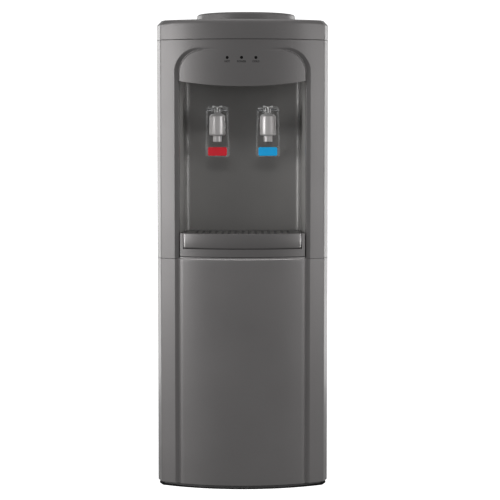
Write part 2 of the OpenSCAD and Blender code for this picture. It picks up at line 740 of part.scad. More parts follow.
// Steel shelf that carries the foam block, with a hanger for the hot tank
shelf_z = foam_z - sheet - tiny;
hot_top_z = shelf_z - hot_gap;
hot_z = hot_top_z - hot_h;
hanger_z = hot_z - seat - sheet;
hanger_half = 14;
hanger_gap = 7;
shelf_front_y = 6;
shelf_back_y = 126;
side_lip = 18;
feed_port = [0, 72];
drain_port = [-20, 72];
module tank_shelf() color(steel) {
    x_in = half_w - sheet - seat;
    difference() {
        union() {
            translate([-x_in, shelf_front_y, shelf_z])
                cube([2 * x_in, shelf_back_y - shelf_front_y, sheet]);
            for (s = [0, 1]) translate([s ? x_in - sheet : -x_in, shelf_front_y, shelf_z - side_lip])
                cube([sheet, shelf_back_y - shelf_front_y, side_lip + sheet]);
            translate([-hanger_half, hot_y - hot_r - hanger_gap - sheet, hanger_z])
                cube([2 * hanger_half, 2 * (hot_r + hanger_gap + sheet), sheet]);
            for (s = [-1, 1]) translate([-hanger_half, hot_y + s * (hot_r + hanger_gap + sheet / 2)
                - sheet / 2, hanger_z])
                cube([2 * hanger_half, sheet, shelf_z + sheet - hanger_z]);
            translate([drain_port[0] - 10, hot_y - 12, hanger_z]) cube([20, 24, sheet]);
        }
        for (p = [tap_nipple, feed_nipple]) translate([p[0], p[1], shelf_z - 1])
            cylinder(r = nipple_r + 2, h = sheet + 2);
        for (p = [feed_port, drain_port]) translate([p[0], hot_y, hanger_z - 1])
            cylinder(r = nipple_r + 2, h = sheet + 2);
    }
}

port_z = hanger_z - 10;
hot_outlet_z = hot_top_z - 12;
hot_outlet_x = hot_r + 12;
module hot_tank() color(steel) difference() {
    union() {
        translate([0, hot_y, hot_z]) cylinder(r = hot_r, h = hot_h, $fn = round_fn);
        for (p = [feed_port, drain_port]) translate([p[0], hot_y, port_z])
            cylinder(r = nipple_r, h = hot_z + 1 - port_z);
        rod_x(hot_y, hot_outlet_z, nipple_r, -hot_outlet_x, -hot_r + 2);
    }
    translate([0, hot_y, hot_z + tank_wall])
        cylinder(r = hot_r - tank_wall, h = hot_h - 2 * tank_wall, $fn = round_fn);
    for (p = [feed_port, drain_port]) translate([p[0], hot_y, port_z - 1])
        cylinder(r = nipple_r - tank_wall, h = hot_z + 3 - port_z);
    rod_x(hot_y, hot_outlet_z, nipple_r - tank_wall, -hot_outlet_x - 1, -hot_r + 4);
}

heater_z = hot_z + 22;
module band_heater() color(silver) difference() {
    union() {
        translate([0, hot_y, heater_z]) cylinder(r = hot_r + seat + heater_t, h = heater_h, $fn = round_fn);
        translate([hot_r - 2, hot_y - 7, heater_z + 8]) cube([12, 5, heater_h - 16]);
        translate([hot_r - 2, hot_y + 2, heater_z + 8]) cube([12, 5, heater_h - 16]);
    }
    translate([0, hot_y, heater_z - 1]) cylinder(r = hot_r + seat, h = heater_h + 2, $fn = round_fn);
    translate([hot_r - 4, hot_y - 2, heater_z - 1]) cube([16, 4, heater_h + 2]);
}

module thermostats() color(machine_black) {
    for (x = [-18, 18]) translate([x, hot_y, hot_top_z + seat]) {
        cylinder(r = 8, h = 7);
        translate([0, 0, 7]) cylinder(r = 5, h = 3);
    }
    translate([switch_xs[0] - 2, back_inner_y - seat - 24, switch_z - 62]) cube([36, 24, 28]);
}

// Water hoses
hose_r = 5;
barb_drop = 17;
barb_y = shelf_rear_y + 10;
barb_z = shank_z - barb_drop;
cold_tap_route = [[tap_x, barb_y, barb_z], [tap_x, barb_y, barb_z - 4], [tap_x, barb_y, barb_z - 14],
    [tap_x - 1, barb_y + 3,
    barb_z - 32],
    [tap_x - 8, 8, nipple_z - 14], [tap_nipple[0] + 3, tap_nipple[1] - 8, nipple_z - 18],
    [tap_nipple[0], tap_nipple[1], nipple_z - 8], [tap_nipple[0], tap_nipple[1], nipple_z - 4],
    [tap_nipple[0], tap_nipple[1], nipple_z]];
hot_tap_route = [[-tap_x, barb_y, barb_z], [-tap_x, barb_y, barb_z - 4], [-tap_x, barb_y, barb_z - 14],
    [-tap_x - 3, barb_y + 4,
    barb_z - 32],
    [-tap_x - 13, 26, hot_outlet_z + 2], [-hot_outlet_x - 12, hot_y - 16, hot_outlet_z],
    [-hot_outlet_x - 9, hot_y, hot_outlet_z], [-hot_outlet_x - 4, hot_y, hot_outlet_z],
    [-hot_outlet_x, hot_y, hot_outlet_z]];
feed_route = [[feed_nipple[0], feed_nipple[1], nipple_z], [feed_nipple[0], feed_nipple[1], nipple_z - 3],
    [feed_nipple[0], feed_nipple[1], nipple_z - 6],
    [54, 66, nipple_z - 12], [63, 70, nipple_z - 40], [63, 72, hot_z + 20], [54, 72, port_z - 12],
    [28, 72, port_z - 24], [8, 72, port_z - 18], [0, hot_y, port_z - 8],
    [0, hot_y, port_z - 4], [0, hot_y, port_z]];
drain_barb_y = back_inner_y - 11;
drain_route = [[drain_port[0], hot_y, port_z], [drain_port[0], hot_y, port_z - 4],
    [drain_port[0], hot_y, port_z - 12], [-28, 84, port_z - 50],
    [-46, 104, outlet_z + 110], [-56, 112, outlet_z + 40], [drain_x, drain_barb_y - 16, outlet_z + 14],
    [drain_x, drain_barb_y - 8, outlet_z], [drain_x, drain_barb_y - 4, outlet_z],
    [drain_x, drain_barb_y, outlet_z]];
route_steps = 3;
hose_sides = 8;
module cold_tap_hose() color(tube_white) tube(smooth(cold_tap_route, route_steps), hose_r, hose_sides);
module hot_tap_hose() color(tube_white) tube(smooth(hot_tap_route, route_steps), hose_r, hose_sides);
module hot_feed_hose() color(tube_white) tube(smooth(feed_route, route_steps), hose_r, hose_sides);
module drain_hose() color(tube_white) tube(smooth(drain_route, route_steps), hose_r, hose_sides);

// Base, feet and casing sheets
foot_xs = [-118, 118];
foot_ys = [-92, 112];
deck_low_z = foot_h;
deck_high_z = deck_low_z + deck_t;
skirt_half = half_w - skirt_in;
module skirt_plan(inset) intersection() {
    front_plan(skirt_front + inset, side_rear_y - 4 - inset);
    translate([inset - skirt_half, front_y]) square([2 * (skirt_half - inset), cab_d]);
    translate([0, groove_y]) circle(r = groove_r - panel_wall - seat - inset, $fn = round_fn);
}

module base_pan() color(casing_dark) {
    for (sx = [-1, 1]) for (sy = [-1, 1]) translate([comp_x + sx * plate_x, comp_y + sy * plate_y,
        deck_low_z])
        cylinder(r = stud_r, h = comp_foot_z + 8 - deck_low_z);
    translate([0, 0, deck_low_z]) linear_extrude(deck_t) inner_plan(fit);
    translate([0, 0, skirt_z]) linear_extrude(deck_low_z + tiny - skirt_z) difference() {
        skirt_plan(0);
        skirt_plan(base_wall);
    }
    translate([0, 0, deck_high_z - tiny]) linear_extrude(rim_h) difference() {
        inner_plan(fit);
        inner_plan(fit + base_wall);
        translate([-half_w, side_rear_y - 20]) square([cab_w, 40]);
    }
}

module feet() color(machine_black) for (x = foot_xs) for (y = foot_ys) translate([x, y, 0])
    rotate_extrude() polygon([[0, 0], [foot_r - 1, 0], [foot_r, 1], [foot_r - 1.5, foot_h], [0, foot_h]]);

screw_zs = [bay_top_z + 28, 400, 600, cover_seam_z - 30];
screw_x = half_w - rear_flange / 2 - 2;
screw_r = 1.7;
side_flange = 8;
return_z = deck_high_z + rim_h + seat;
module side_panel(s) color(casing) {
    z0 = panel_bottom;
    h = panel_top_z - z0;
    difference() {
        union() {
            translate([s > 0 ? half_w - sheet : -half_w, side_y + seam, z0])
                cube([sheet, side_rear_y - side_y - seam, h]);
            translate([s > 0 ? half_w - rear_flange : -half_w, side_rear_y - sheet, z0])
                cube([rear_flange, sheet, h]);
            translate([s > 0 ? half_w - side_flange : -half_w, side_y + seam, return_z])
                cube([side_flange, sheet, panel_top_z - return_z]);
        }
        for (z = screw_zs) rod_y(s * screw_x, z, screw_r + fit, side_rear_y - sheet - 1, side_rear_y + 1);
    }
}
module left_side_panel() side_panel(-1);
module right_side_panel() side_panel(1);

switch_w = 20;
switch_h = 28;
vent_w = 60;
vent_in = 45;
module back_panel() color(machine_black) difference() {
    translate([seam - half_w, back_inner_y, bay_top_z])
        cube([cab_w - 2 * seam, sheet, panel_top_z - bay_top_z]);
    for (s = [-1, 1]) for (z = screw_zs) rod_y(s * screw_x, z, screw_r + fit, back_inner_y - 1,
        back_outer_y + 1);
    for (x = switch_xs) translate([x - switch_w / 2, back_inner_y - 1, switch_z - switch_h / 2])
        cube([switch_w, sheet + 2, switch_h]);
    rod_y(drain_x, outlet_z, drain_r + fit, back_inner_y - 1, back_outer_y + 1);
    rod_y(gland_x, outlet_z, gland_bore + 3 + fit, back_inner_y - 1, back_outer_y + 1);
    for (i = [0:5]) translate([vent_in - half_w, back_inner_y - 1, switch_z - 22 + 9 * i])
        cube([vent_w, sheet + 2, 4]);
}

module panel_screws() color(steel) for (s = [-1, 1]) for (z = screw_zs) {
    rod_y(s * screw_x, z, screw_r, side_rear_y - sheet - 5, back_outer_y + 1);
    rod_y(s * screw_x, z, 2.1 * screw_r, back_outer_y, back_outer_y + 2.2);
}

// Indicator lamps and their board behind the hood
board_y = front_at(0, 0) + panel_wall + 6;
board_half = 40;
board_h = 20;
post_x = 36;
module indicator_lenses() color(machine_black) for (x = lamp_xs) {
    rod_y(x, lamp_z, lamp_r, lamp_y(x) - 0.3, board_y - 1);
    rod_y(x, lamp_z, lamp_r + 0.8, lamp_y(x) + panel_wall + 0.8, board_y - seat);
}
module indicator_board() color([0.12, 0.32, 0.18]) {
    translate([lamp_shift - board_half, board_y, lamp_z - 12]) cube([2 * board_half, board_t, board_h]);
    for (x = [lamp_shift - post_x, lamp_shift + post_x])
        rod_y(x, lamp_z, 2.5, front_at(x, 0) + panel_wall + seat, board_y + 1);
}

// Compressor and what stands round it
comp_foot_z = deck_high_z + 11;
plate_x = 62;
plate_y = 44;
stub_z = comp_foot_z + comp_h + 8;
suction_stub = [-30, 18];
discharge_stub = [25, 23];
grommet_r = 9;
stud_r = 1.95;
module compressor() color(machine_black) difference() {
    union() {
        translate([comp_x, comp_y, comp_foot_z]) rotate_extrude($fn = round_fn) polygon(concat([[0, 2]],
            arc([comp_r - 22, 22], 22, -90, 0, 6), arc([comp_r - 40, comp_h - 40], 40, 0, 90, 8), [[0,
                comp_h]]));
        translate([comp_x, comp_y, comp_foot_z + 62]) cylinder(r = comp_r + 2, h = 5, $fn = round_fn);
        translate([comp_x - plate_x - 10, comp_y - plate_y - 10, comp_foot_z])
            cube([2 * plate_x + 20, 2 * plate_y + 20, 3]);
        for (p = [suction_stub, discharge_stub]) translate([comp_x + p[0], comp_y + p[1],
            comp_foot_z + comp_h / 2])
            cylinder(r = 4, h = stub_z - comp_foot_z - comp_h / 2);
    }
    for (sx = [-1, 1]) for (sy = [-1, 1]) translate([comp_x + sx * plate_x, comp_y + sy * plate_y,
        comp_foot_z - 1])
        cylinder(r = grommet_r - 3 + fit, h = 5);
}
module compressor_grommets() color([0.12, 0.12, 0.12]) for (sx = [-1, 1]) for (sy = [-1, 1])
    translate([comp_x + sx * plate_x, comp_y + sy * plate_y, 0]) rotate_extrude() polygon([[2, deck_high_z],
        [grommet_r, deck_high_z], [grommet_r, comp_foot_z - tiny], [grommet_r - 3, comp_foot_z - tiny],
        [grommet_r - 3, comp_foot_z + 3 + seat], [grommet_r - 1, comp_foot_z + 3 + seat],
        [grommet_r - 1, comp_foot_z + 6], [2, comp_foot_z + 6]]);
relay_x = comp_x - comp_r - 30;
module relay_cover() color([0.1, 0.1, 0.11]) difference() {
    translate([relay_x, comp_y - 25, comp_foot_z + 70]) cube([34, 46, 48]);
    translate([comp_x, comp_y, comp_foot_z]) cylinder(r = comp_r + seat, h = comp_h, $fn = round_fn);
    translate([comp_x - comp_r - 4 + seat, comp_y - 40, comp_foot_z + 69]) cube([40, 20, 60]);
}

// Condenser: a serpentine tube between two rows of wires
wire_y = rear_y - wire_r;
cond_y = wire_y - wire_r - 0.2 - cond_tube;
inner_wire_y = cond_y - cond_tube - 0.2 - wire_r;
bend_r = cond_pitch / 2;
cond_top_z = cond_low_z + (cond_runs - 1) * cond_pitch;
riser_x = cond_half + bend_r + 10;
riser_foot_z = 178;
riser_foot = [riser_x, cond_y, riser_foot_z];
bend_steps = 6;
function bend(i) = let (s = i % 2 == 0 ? -1 : 1, z = cond_top_z - (i + 0.5) * cond_pitch)
    [for (k = [0:bend_steps]) let (a = 90 - 180 * k / bend_steps)
        [s * (cond_half + bend_r * cos(a)), cond_y, z + bend_r * sin(a)]];
corner_r = 10;
serpentine = concat([riser_foot, [riser_x, cond_y, cond_top_z - corner_r]],
    [for (a = [22.5:22.5:67.5]) [riser_x - corner_r * (1 - cos(a)), cond_y,
        cond_top_z - corner_r * (1 - sin(a))]],
    [[riser_x - corner_r, cond_y, cond_top_z]], [for (i = [0:cond_runs - 2]) each bend(i)]);
pipe_y = back_inner_y - 13;
drier = [-110, back_inner_y - 25];
drier_top_z = 148;
cond_tail = smooth([[-cond_half - 12, cond_y, cond_low_z], [-cond_half - 22, cond_y, cond_low_z - 8],
    [-cond_half - 24, cond_y, cond_low_z - 40], [-cond_half - 22, cond_y - 4, 176], [-120, pipe_y + 4, 166],
    [drier[0], drier[1] + 3, 162], [drier[0], drier[1], 156], [drier[0], drier[1], 152],
    [drier[0], drier[1], drier_top_z]], 3);
module condenser_tube() color(machine_black) tube(concat(serpentine, cond_tail), cond_tube, 8);

wire_span = floor((cond_half + 8) / wire_pitch);
module condenser_wires() color(machine_black) for (i = [-wire_span:wire_span])
    for (y = [inner_wire_y, wire_y])
    translate([i * wire_pitch, y, cond_low_z - 14]) cylinder(r = wire_r,
        h = cond_top_z - cond_low_z + 28, $fn = 16);

clip_zs = [cond_low_z + cond_pitch / 2, cond_top_z - cond_pitch / 2];
module condenser_clips() color(machine_black) for (x = [-85, 85]) for (z = clip_zs) {
    depth = inner_wire_y - wire_r - seat - back_outer_y - seat;
    translate([x - 18, back_outer_y + seat, z - 6]) cube([36, 2, 12]);
    translate([x - 18, back_outer_y + seat, z - 6]) cube([12, depth, 12]);
}

module filter_drier() color(copper) {
    translate([drier[0], drier[1], 0]) rotate_extrude()
        polygon([[0, 58], [2, 58], [2, 64], [8, 72], [8, 134],
        [3, 142], [3, drier_top_z], [0, drier_top_z]]);
    tube(smooth(capillary_route, route_steps), 1.3, 6);
}
capillary_route = [[drier[0], drier[1], 60], [drier[0], drier[1], 48], [-116, pipe_y - 7, 40],
    [-124, pipe_y - 3, 52], [-128, pipe_y, 90], [-128, pipe_y, 300], [-128, pipe_y, 520],
    [-108, pipe_y + 7, 575], [-40, pipe_y + 7, 612], [30, pipe_y + 5, 640],
    [62, pipe_y - 3, coil_z], [66, cold_y + coil_r + 4, coil_z], [58, cold_y + coil_r, coil_z],
    [coil_end, cold_y + coil_r, coil_z]];

discharge_route = [[comp_x + discharge_stub[0], comp_y + discharge_stub[1], stub_z],
    [comp_x + discharge_stub[0], comp_y + discharge_stub[1], stub_z + 3],
    [comp_x + discharge_stub[0], comp_y + discharge_stub[1], stub_z + 7], [60, 96, 185], [76, 110, 172],
    [105, pipe_y + 2, 158], [128, cond_y - 6, 154], [riser_x, cond_y, 164], [riser_x, cond_y, 171],
    riser_foot];
module discharge_line() color(copper) tube(smooth(discharge_route, route_steps), cond_tube, 8);

coil_top_z = coil_z + coil_turns * coil_pitch;
suction_route = [[-coil_end, cold_y + coil_r, coil_top_z], [-coil_end - 4, cold_y + coil_r, coil_top_z],
    [-coil_end - 8, cold_y + coil_r, coil_top_z], [-78, 116, coil_top_z - 8],
    [-90, pipe_y - 3, coil_top_z - 40], [-92, pipe_y, 640], [-92, pipe_y, 400],
    [-90, pipe_y - 3, 290], [-78, 114, 226], [-44, 94, 196], [-14, 83, 190],
    [comp_x + suction_stub[0], comp_y + suction_stub[1], stub_z + 7],
    [comp_x + suction_stub[0], comp_y + suction_stub[1], stub_z + 3],
    [comp_x + suction_stub[0], comp_y + suction_stub[1], stub_z]];
module suction_line() color(copper) tube(smooth(suction_route, route_steps), coil_tube, 8);

// Rocker switches, drain and cord inlet on the back panel
bezel_t = 2;
rocker_w = 14;
rocker_half = 10.8;
rocker_pin = 1.2;
housing_depth = 16;
pivot_y = back_outer_y;
module switch_housings() color([0.08, 0.08, 0.08]) for (x = switch_xs) difference() {
    union() {
        translate([x - switch_w / 2 - 1.5, back_outer_y, switch_z - switch_h / 2 - 1.5])
            cube([switch_w + 3, bezel_t, switch_h + 3]);
        translate([x - switch_w / 2 + fit, back_outer_y - housing_depth, switch_z - switch_h / 2 + fit])
            cube([switch_w - 2 * fit, housing_depth + 1, switch_h - 2 * fit]);
    }
    translate([x - rocker_w / 2 - fit, back_outer_y - 7, switch_z - rocker_half - 1.5])
        cube([rocker_w + 2 * fit, 12, 2 * rocker_half + 3]);
    rod_x(pivot_y, switch_z, rocker_pin + pin_play, x - rocker_w / 2 - 2, x + rocker_w / 2 + 2);
}
module rocker(x) {
    along_x(x - rocker_w / 2, x + rocker_w / 2) translate([pivot_y, switch_z])
        polygon([[1.2, rocker_half], [2.4, 0], [5.2, -rocker_half], [-4, -7], [-4, 7]]);
    rod_x(pivot_y, switch_z, rocker_pin, x - rocker_w / 2 - 1.6, x + rocker_w / 2 + 1.6);
}
module hot_switch() color(hot_red) rocker(switch_xs[0]);
module cold_switch() color(cold_blue) rocker(switch_xs[1]);

module cord_gland() color([0.1, 0.1, 0.1]) difference() {
    union() {
        rod_y(gland_x, outlet_z, gland_bore + 3, back_inner_y - 8, back_outer_y + 1);
        rod_y(gland_x, outlet_z, gland_bore + 5, back_outer_y, back_outer_y + 3);
        rod_y(gland_x, outlet_z, gland_bore + 5, back_inner_y - 8, back_inner_y - 5);
    }
    rod_y(gland_x, outlet_z, gland_bore, back_inner_y - 9, back_outer_y + 4);
}

drain_bore = drain_r - 2;
drain_len = 10;
module drain_outlet() color(tube_white) difference() {
    union() {
        rod_y(drain_x, outlet_z, drain_r, back_inner_y - 6, back_outer_y + drain_len);
        rod_y(drain_x, outlet_z, drain_r + 2.5, back_outer_y + tiny, back_outer_y + 2);
        rod_y(drain_x, outlet_z, nipple_r, drain_barb_y, back_inner_y - 5);
        rod_y(drain_x, outlet_z, drain_r + 2.5, back_inner_y - 3, back_inner_y - tiny);
    }
    rod_y(drain_x, outlet_z, drain_bore, back_inner_y - 4, back_outer_y + drain_len + 1);
    rod_y(drain_x, outlet_z, nipple_r - 1.2, drain_barb_y - 1, back_inner_y);
}
module drain_plug() color([0.2, 0.2, 0.2]) {
    rod_y(drain_x, outlet_z, drain_bore - 0.05, back_outer_y - 2, back_outer_y + drain_len + 1);
    rod_y(drain_x, outlet_z, drain_r + 1.5, back_outer_y + drain_len + seat, back_outer_y + drain_len + 4);
}

// Taps
body_z = spout_z + spout_len;
body_top_z = body_z + tap_h;
valve_seat_z = body_z + 6;
pin_z = body_top_z + pin_rise;
shank_bore = 5;
module tap_body(x) color(silver) difference() {
    union() {
        translate([x, tap_y, 0]) rotate_extrude() polygon([[0, spout_z], [spout_r - 0.6, spout_z],
            [spout_r, spout_z + 1], [spout_r, body_z - 1], [tap_r - 1, body_z], [tap_r, body_z + 1],
            [tap_r, body_top_z], [0, body_top_z]]);
        rod_y(x, shank_z, shank_r, tap_y, shelf_rear_y + 15);
        rod_y(x, shank_z, shank_r + 5.5, liner_back_y - 4, liner_back_y - seat);
        translate([x, barb_y, barb_z]) cylinder(r = nipple_r, h = barb_drop);
    }
    translate([x, tap_y, valve_seat_z]) cylinder(r = chamber_r, h = tap_h);
    translate([x, tap_y, spout_z - 1]) cylinder(r = spout_bore, h = spout_len + 10);
    rod_y(x, shank_z, shank_bore, tap_y, shelf_rear_y + 12);
    translate([x, barb_y, barb_z - 1]) cylinder(r = nipple_r - 1.2, h = barb_drop);
}
module hot_tap_body() tap_body(-tap_x);
module cold_tap_body() tap_body(tap_x);

// Bonnet with two lugs that carry the lever's pins
lug_in = stem_r + 0.9;
lug_out = lug_in + 2.5;
lug_half = 4;
cone_h = 6.5;
cap_z = body_top_z + 0.2;
module tap_cap(x) color(silver) difference() {
    translate([x, tap_y, 0]) union() {
        rotate_extrude() polygon([[0, cap_z - 4], [chamber_r - 0.2, cap_z - 4], [chamber_r - 0.2, cap_z],
            [tap_r, cap_z], [tap_r - 3.1, cap_z + 3.8], [9, cap_z + 3.8],
            [lug_out, cap_z + cone_h], [0, cap_z + cone_h]]);
        for (s = [-1, 1]) along_x(s > 0 ? lug_in : -lug_out, s > 0 ? lug_out : -lug_in) {
            translate([-lug_half, cap_z + 5]) square([2 * lug_half, pin_z - cap_z - 5]);
            translate([0, pin_z]) circle(r = lug_half);
        }
    }
    translate([x, tap_y, cap_z - 5]) cylinder(r = stem_r + fit, h = 30);
    rod_x(tap_y, pin_z, pin_r + pin_play, x - lug_out - 1, x + lug_out + 1);
}
module hot_tap_cap() tap_cap(-tap_x);
module cold_tap_cap() tap_cap(tap_x);

// Stem with the rubber valve at its foot and a winged bar on top
cam_rise = lug_half + 0.5;
bar_z = pin_z + cam_rise + seat;
bar_h = 3.2;
wing_half = 9.2;
bar_y = 3.5;
valve_h = 5;
module tap_stem(x) color(silver) translate([x, tap_y, 0]) {
    translate([0, 0, valve_seat_z + seat]) cylinder(r = valve_r, h = valve_h);
    translate([0, 0, valve_seat_z + 1]) cylinder(r = stem_r, h = bar_z + 1 - valve_seat_z - 1);
    along_y(-bar_y, bar_y) polygon([[-wing_half, bar_z], [wing_half, bar_z], [wing_half, bar_z + bar_h],
        [wing_half - 2.4, bar_z + bar_h], [2.5, bar_z + 1.2], [-2.5, bar_z + 1.2],
        [2.4 - wing_half, bar_z + bar_h], [-wing_half, bar_z + bar_h]]);
}
module hot_tap_stem() tap_stem(-tap_x);
module cold_tap_stem() tap_stem(tap_x);

// Valve spring between the valve and the bonnet
spring_low_z = valve_seat_z + seat + valve_h + spring_wire + 0.1;
spring_high_z = cap_z - 4 - spring_wire - 0.1;
spring_r = 5;
spring_turns = 5;
spring_rings = 8;
spring_route = [for (i = [0:spring_turns * spring_rings]) let (a = 360 * i / spring_rings)
    [spring_r * cos(a), spring_r * sin(a),
        spring_low_z + (spring_high_z - spring_low_z) * i / (spring_turns * spring_rings)]];
spring_gap = (spring_high_z - spring_low_z) / spring_turns - 2 * spring_wire;
module tap_spring(x) color(steel) translate([x, tap_y, 0]) {
    echo("least gap between the valve spring's turns, in mm", spring_gap);
    tube(spring_route, spring_wire, 6);
}
module hot_tap_spring() tap_spring(-tap_x);
module cold_tap_spring() tap_spring(tap_x);

// Clear lever: two arms from the pins down to a paddle behind the spout
hub_in = lug_out + 0.4;
cam_out = wing_half;
cam_half = 8;
hub_r = 4.2;
hub_drop = 3;
arm_t = 5;
paddle_top_z = pin_z - lever_len + tab_h + 3;
lever_foot_z = pin_z - lever_len;
shoulder = 7.5;
module lever_face() difference() {
    polygon(concat([[-cam_out - 0.4, pin_z - hub_drop], [-cam_out - 0.4, pin_z + 4]],
        arc([shoulder - lever_top_half, pin_z + 7.5 - shoulder], shoulder, 110, 180, 5),
        arc([5 - lever_foot_half, lever_foot_z + 5], 5, 180, 270, 5),
        arc([lever_foot_half - 5, lever_foot_z + 5], 5, 270, 360, 5),
        arc([lever_top_half - shoulder, pin_z + 7.5 - shoulder], shoulder, 0, 70, 5),
        [[cam_out + 0.4, pin_z + 4], [cam_out + 0.4, pin_z - hub_drop]]));
    polygon([[-lever_foot_half + lever_arm, paddle_top_z], [lever_foot_half - lever_arm, paddle_top_z],
        [lever_top_half - lever_arm, pin_z - hub_drop + tiny], [-lever_top_half + lever_arm,
            pin_z - hub_drop + tiny]]);
}
module lever_side() polygon([[-arm_t / 2, 9], [arm_t / 2, 9], [arm_t / 2, -10],
    [paddle_back + paddle_t / 2, paddle_top_z - pin_z - 4], [paddle_back + paddle_t / 2, -lever_len - 1],
    [paddle_back - paddle_t / 2, -lever_len - 1], [paddle_back - paddle_t / 2, paddle_top_z - pin_z - 2],
    [-arm_t / 2, -12]]);
module tap_lever(x) color(clear_grey) translate([x, tap_y, 0]) difference() {
    union() {
        intersection() {
            along_y(-20, 40) lever_face();
            along_x(-40, 40) translate([0, pin_z]) lever_side();
        }
        for (s = [0, 1]) rod_x(0, pin_z, hub_r, s ? hub_in : -lever_top_half + 1,
            s ? lever_top_half - 1 : -hub_in);
        for (s = [0, 1]) translate([s ? hub_in : -cam_out, -cam_half, pin_z - hub_drop])
            cube([cam_out - hub_in, 2 * cam_half, hub_drop + cam_rise]);
    }
    rod_x(0, pin_z, pin_r + pin_play, -lever_top_half - 2, lever_top_half + 2);
}
module hot_tap_lever() tap_lever(-tap_x);
module cold_tap_lever() tap_lever(tap_x);

module tap_tab(x) translate([x, tap_y + paddle_back - paddle_t / 2, lever_foot_z + 1.6])
    along_y(-tab_t - 0.1, -0.1)
    polygon(concat(arc([tab_half - 3, 3], 3, 270, 360, 4), arc([tab_half - 3, tab_h - 3], 3, 0, 90, 4),
        arc([3 - tab_half, tab_h - 3], 3, 90, 180, 4), arc([3 - tab_half, 3], 3, 180, 270, 4)));
module hot_tap_tab() color(hot_red) tap_tab(-tap_x);
module cold_tap_tab() color(cold_blue) tap_tab(tap_x);

module tap_pins() color(steel) for (x = [-tap_x, tap_x]) {
    rod_x(tap_y, pin_z, pin_r, x + lug_in, x + lever_top_half - 0.2);
    rod_x(tap_y, pin_z, pin_r, x - lever_top_half + 0.2, x - lug_in);
}

nut_r = 13.5;
nut_t = 5;
module tap_nuts() color(tube_white) for (x = [-tap_x, tap_x]) difference() {
    translate([x, shelf_rear_y + nut_t + seat, shank_z]) rotate([90, 0, 0])
        cylinder(r = nut_r, h = nut_t, $fn = 6);
    rod_y(x, shank_z, shank_r + 0.05, shelf_rear_y - 1, shelf_rear_y + nut_t + 2);
}

base_pan();
feet();
left_side_panel();
right_side_panel();
back_panel();
upper_front_panel();
niche_liner();
tray_shelf();
lower_front_panel();
top_cover();
bottle_collar();
drip_tray();
drip_grid();
indicator_lenses();
indicator_board();
panel_screws();
bottle_receiver();
feed_probe();
cold_tank();
cold_tank_lid();
baffle();
tank_foam();
evaporator_coil();
thermostats();
hot_tank();
band_heater();
tank_shelf();
cold_tap_hose();
hot_tap_hose();
hot_feed_hose();
drain_hose();
compressor();
compressor_grommets();
relay_cover();
condenser_tube();
condenser_wires();
condenser_clips();
filter_drier();
discharge_line();
suction_line();
switch_housings();
hot_switch();
cold_switch();
cord_gland();
drain_outlet();
drain_plug();
hot_tap_body();
cold_tap_body();
hot_tap_cap();
cold_tap_cap();
hot_tap_stem();
cold_tap_stem();
hot_tap_spring();
cold_tap_spring();
hot_tap_lever();
cold_tap_lever();
hot_tap_tab();
cold_tap_tab();
tap_pins();
tap_nuts();
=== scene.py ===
import bpy
import bmesh
import json
import math
import numpy as np
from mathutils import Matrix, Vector


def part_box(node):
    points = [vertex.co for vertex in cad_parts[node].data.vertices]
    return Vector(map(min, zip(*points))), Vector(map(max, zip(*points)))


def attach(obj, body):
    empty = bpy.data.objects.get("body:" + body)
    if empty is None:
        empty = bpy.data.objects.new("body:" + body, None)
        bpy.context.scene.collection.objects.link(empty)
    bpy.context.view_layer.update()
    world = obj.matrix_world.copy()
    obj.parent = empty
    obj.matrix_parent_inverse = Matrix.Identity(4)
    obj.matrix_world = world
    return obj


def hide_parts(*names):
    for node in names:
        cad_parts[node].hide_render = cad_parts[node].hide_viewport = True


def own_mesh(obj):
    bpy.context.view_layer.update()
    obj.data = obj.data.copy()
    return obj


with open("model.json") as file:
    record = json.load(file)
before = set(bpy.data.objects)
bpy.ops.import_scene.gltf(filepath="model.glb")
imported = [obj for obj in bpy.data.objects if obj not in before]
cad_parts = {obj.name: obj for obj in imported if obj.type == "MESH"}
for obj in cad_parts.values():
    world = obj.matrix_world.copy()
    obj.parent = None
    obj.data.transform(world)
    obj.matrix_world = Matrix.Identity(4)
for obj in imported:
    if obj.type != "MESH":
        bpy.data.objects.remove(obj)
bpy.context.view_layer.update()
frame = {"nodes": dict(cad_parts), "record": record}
record = frame["record"]
bodyOf = {node: body for body, nodes in record["behaviour"]["bodies"].items() for node in nodes}
slotOf = {part["node"]: part["material_slot"] for part in record["subparts"]}
mm = 0.001
hair = 0.000001  # metres between places that count as the same


# Sizes are written in millimetres and used in metres, single ones and rows of them alike.
def metres(settings):
    return {key: np.array(value) * mm if isinstance(value, list) else value * mm
        for key, value in settings.items()}


# Corner of a CAD node's box where x, y and z are smallest.
def low(node):
    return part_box(node)[0]


# Corner of a CAD node's box where x, y and z are largest.
def high(node):
    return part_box(node)[1]


# Finishes

# A shader node with values set on its sockets, and other sockets fed by other nodes' outputs.
def linkedNode(tree, kind, values=(), **links):
    node = tree.nodes.new(kind)
    for key, value in dict(values).items():
        node.inputs[key].default_value = value
    for key, socket in links.items():
        tree.links.new(socket, node.inputs[key])
    return node


# Noise over the place on the object, with as many waves in a metre as its scale says.
def noiseNode(tree, place, scale, detail=2.0):
    return linkedNode(tree, "ShaderNodeTexNoise", {"Scale": scale, "Detail": detail,
        "Roughness": 0.5}, Vector=place.outputs["Object"])


# Carries one range over to another in a straight line.
def mapNode(tree, socket, fromLow, fromHigh, toLow, toHigh):
    return linkedNode(tree, "ShaderNodeMapRange", {"From Min": fromLow, "From Max": fromHigh,
        "To Min": toLow, "To Max": toHigh}, Value=socket)


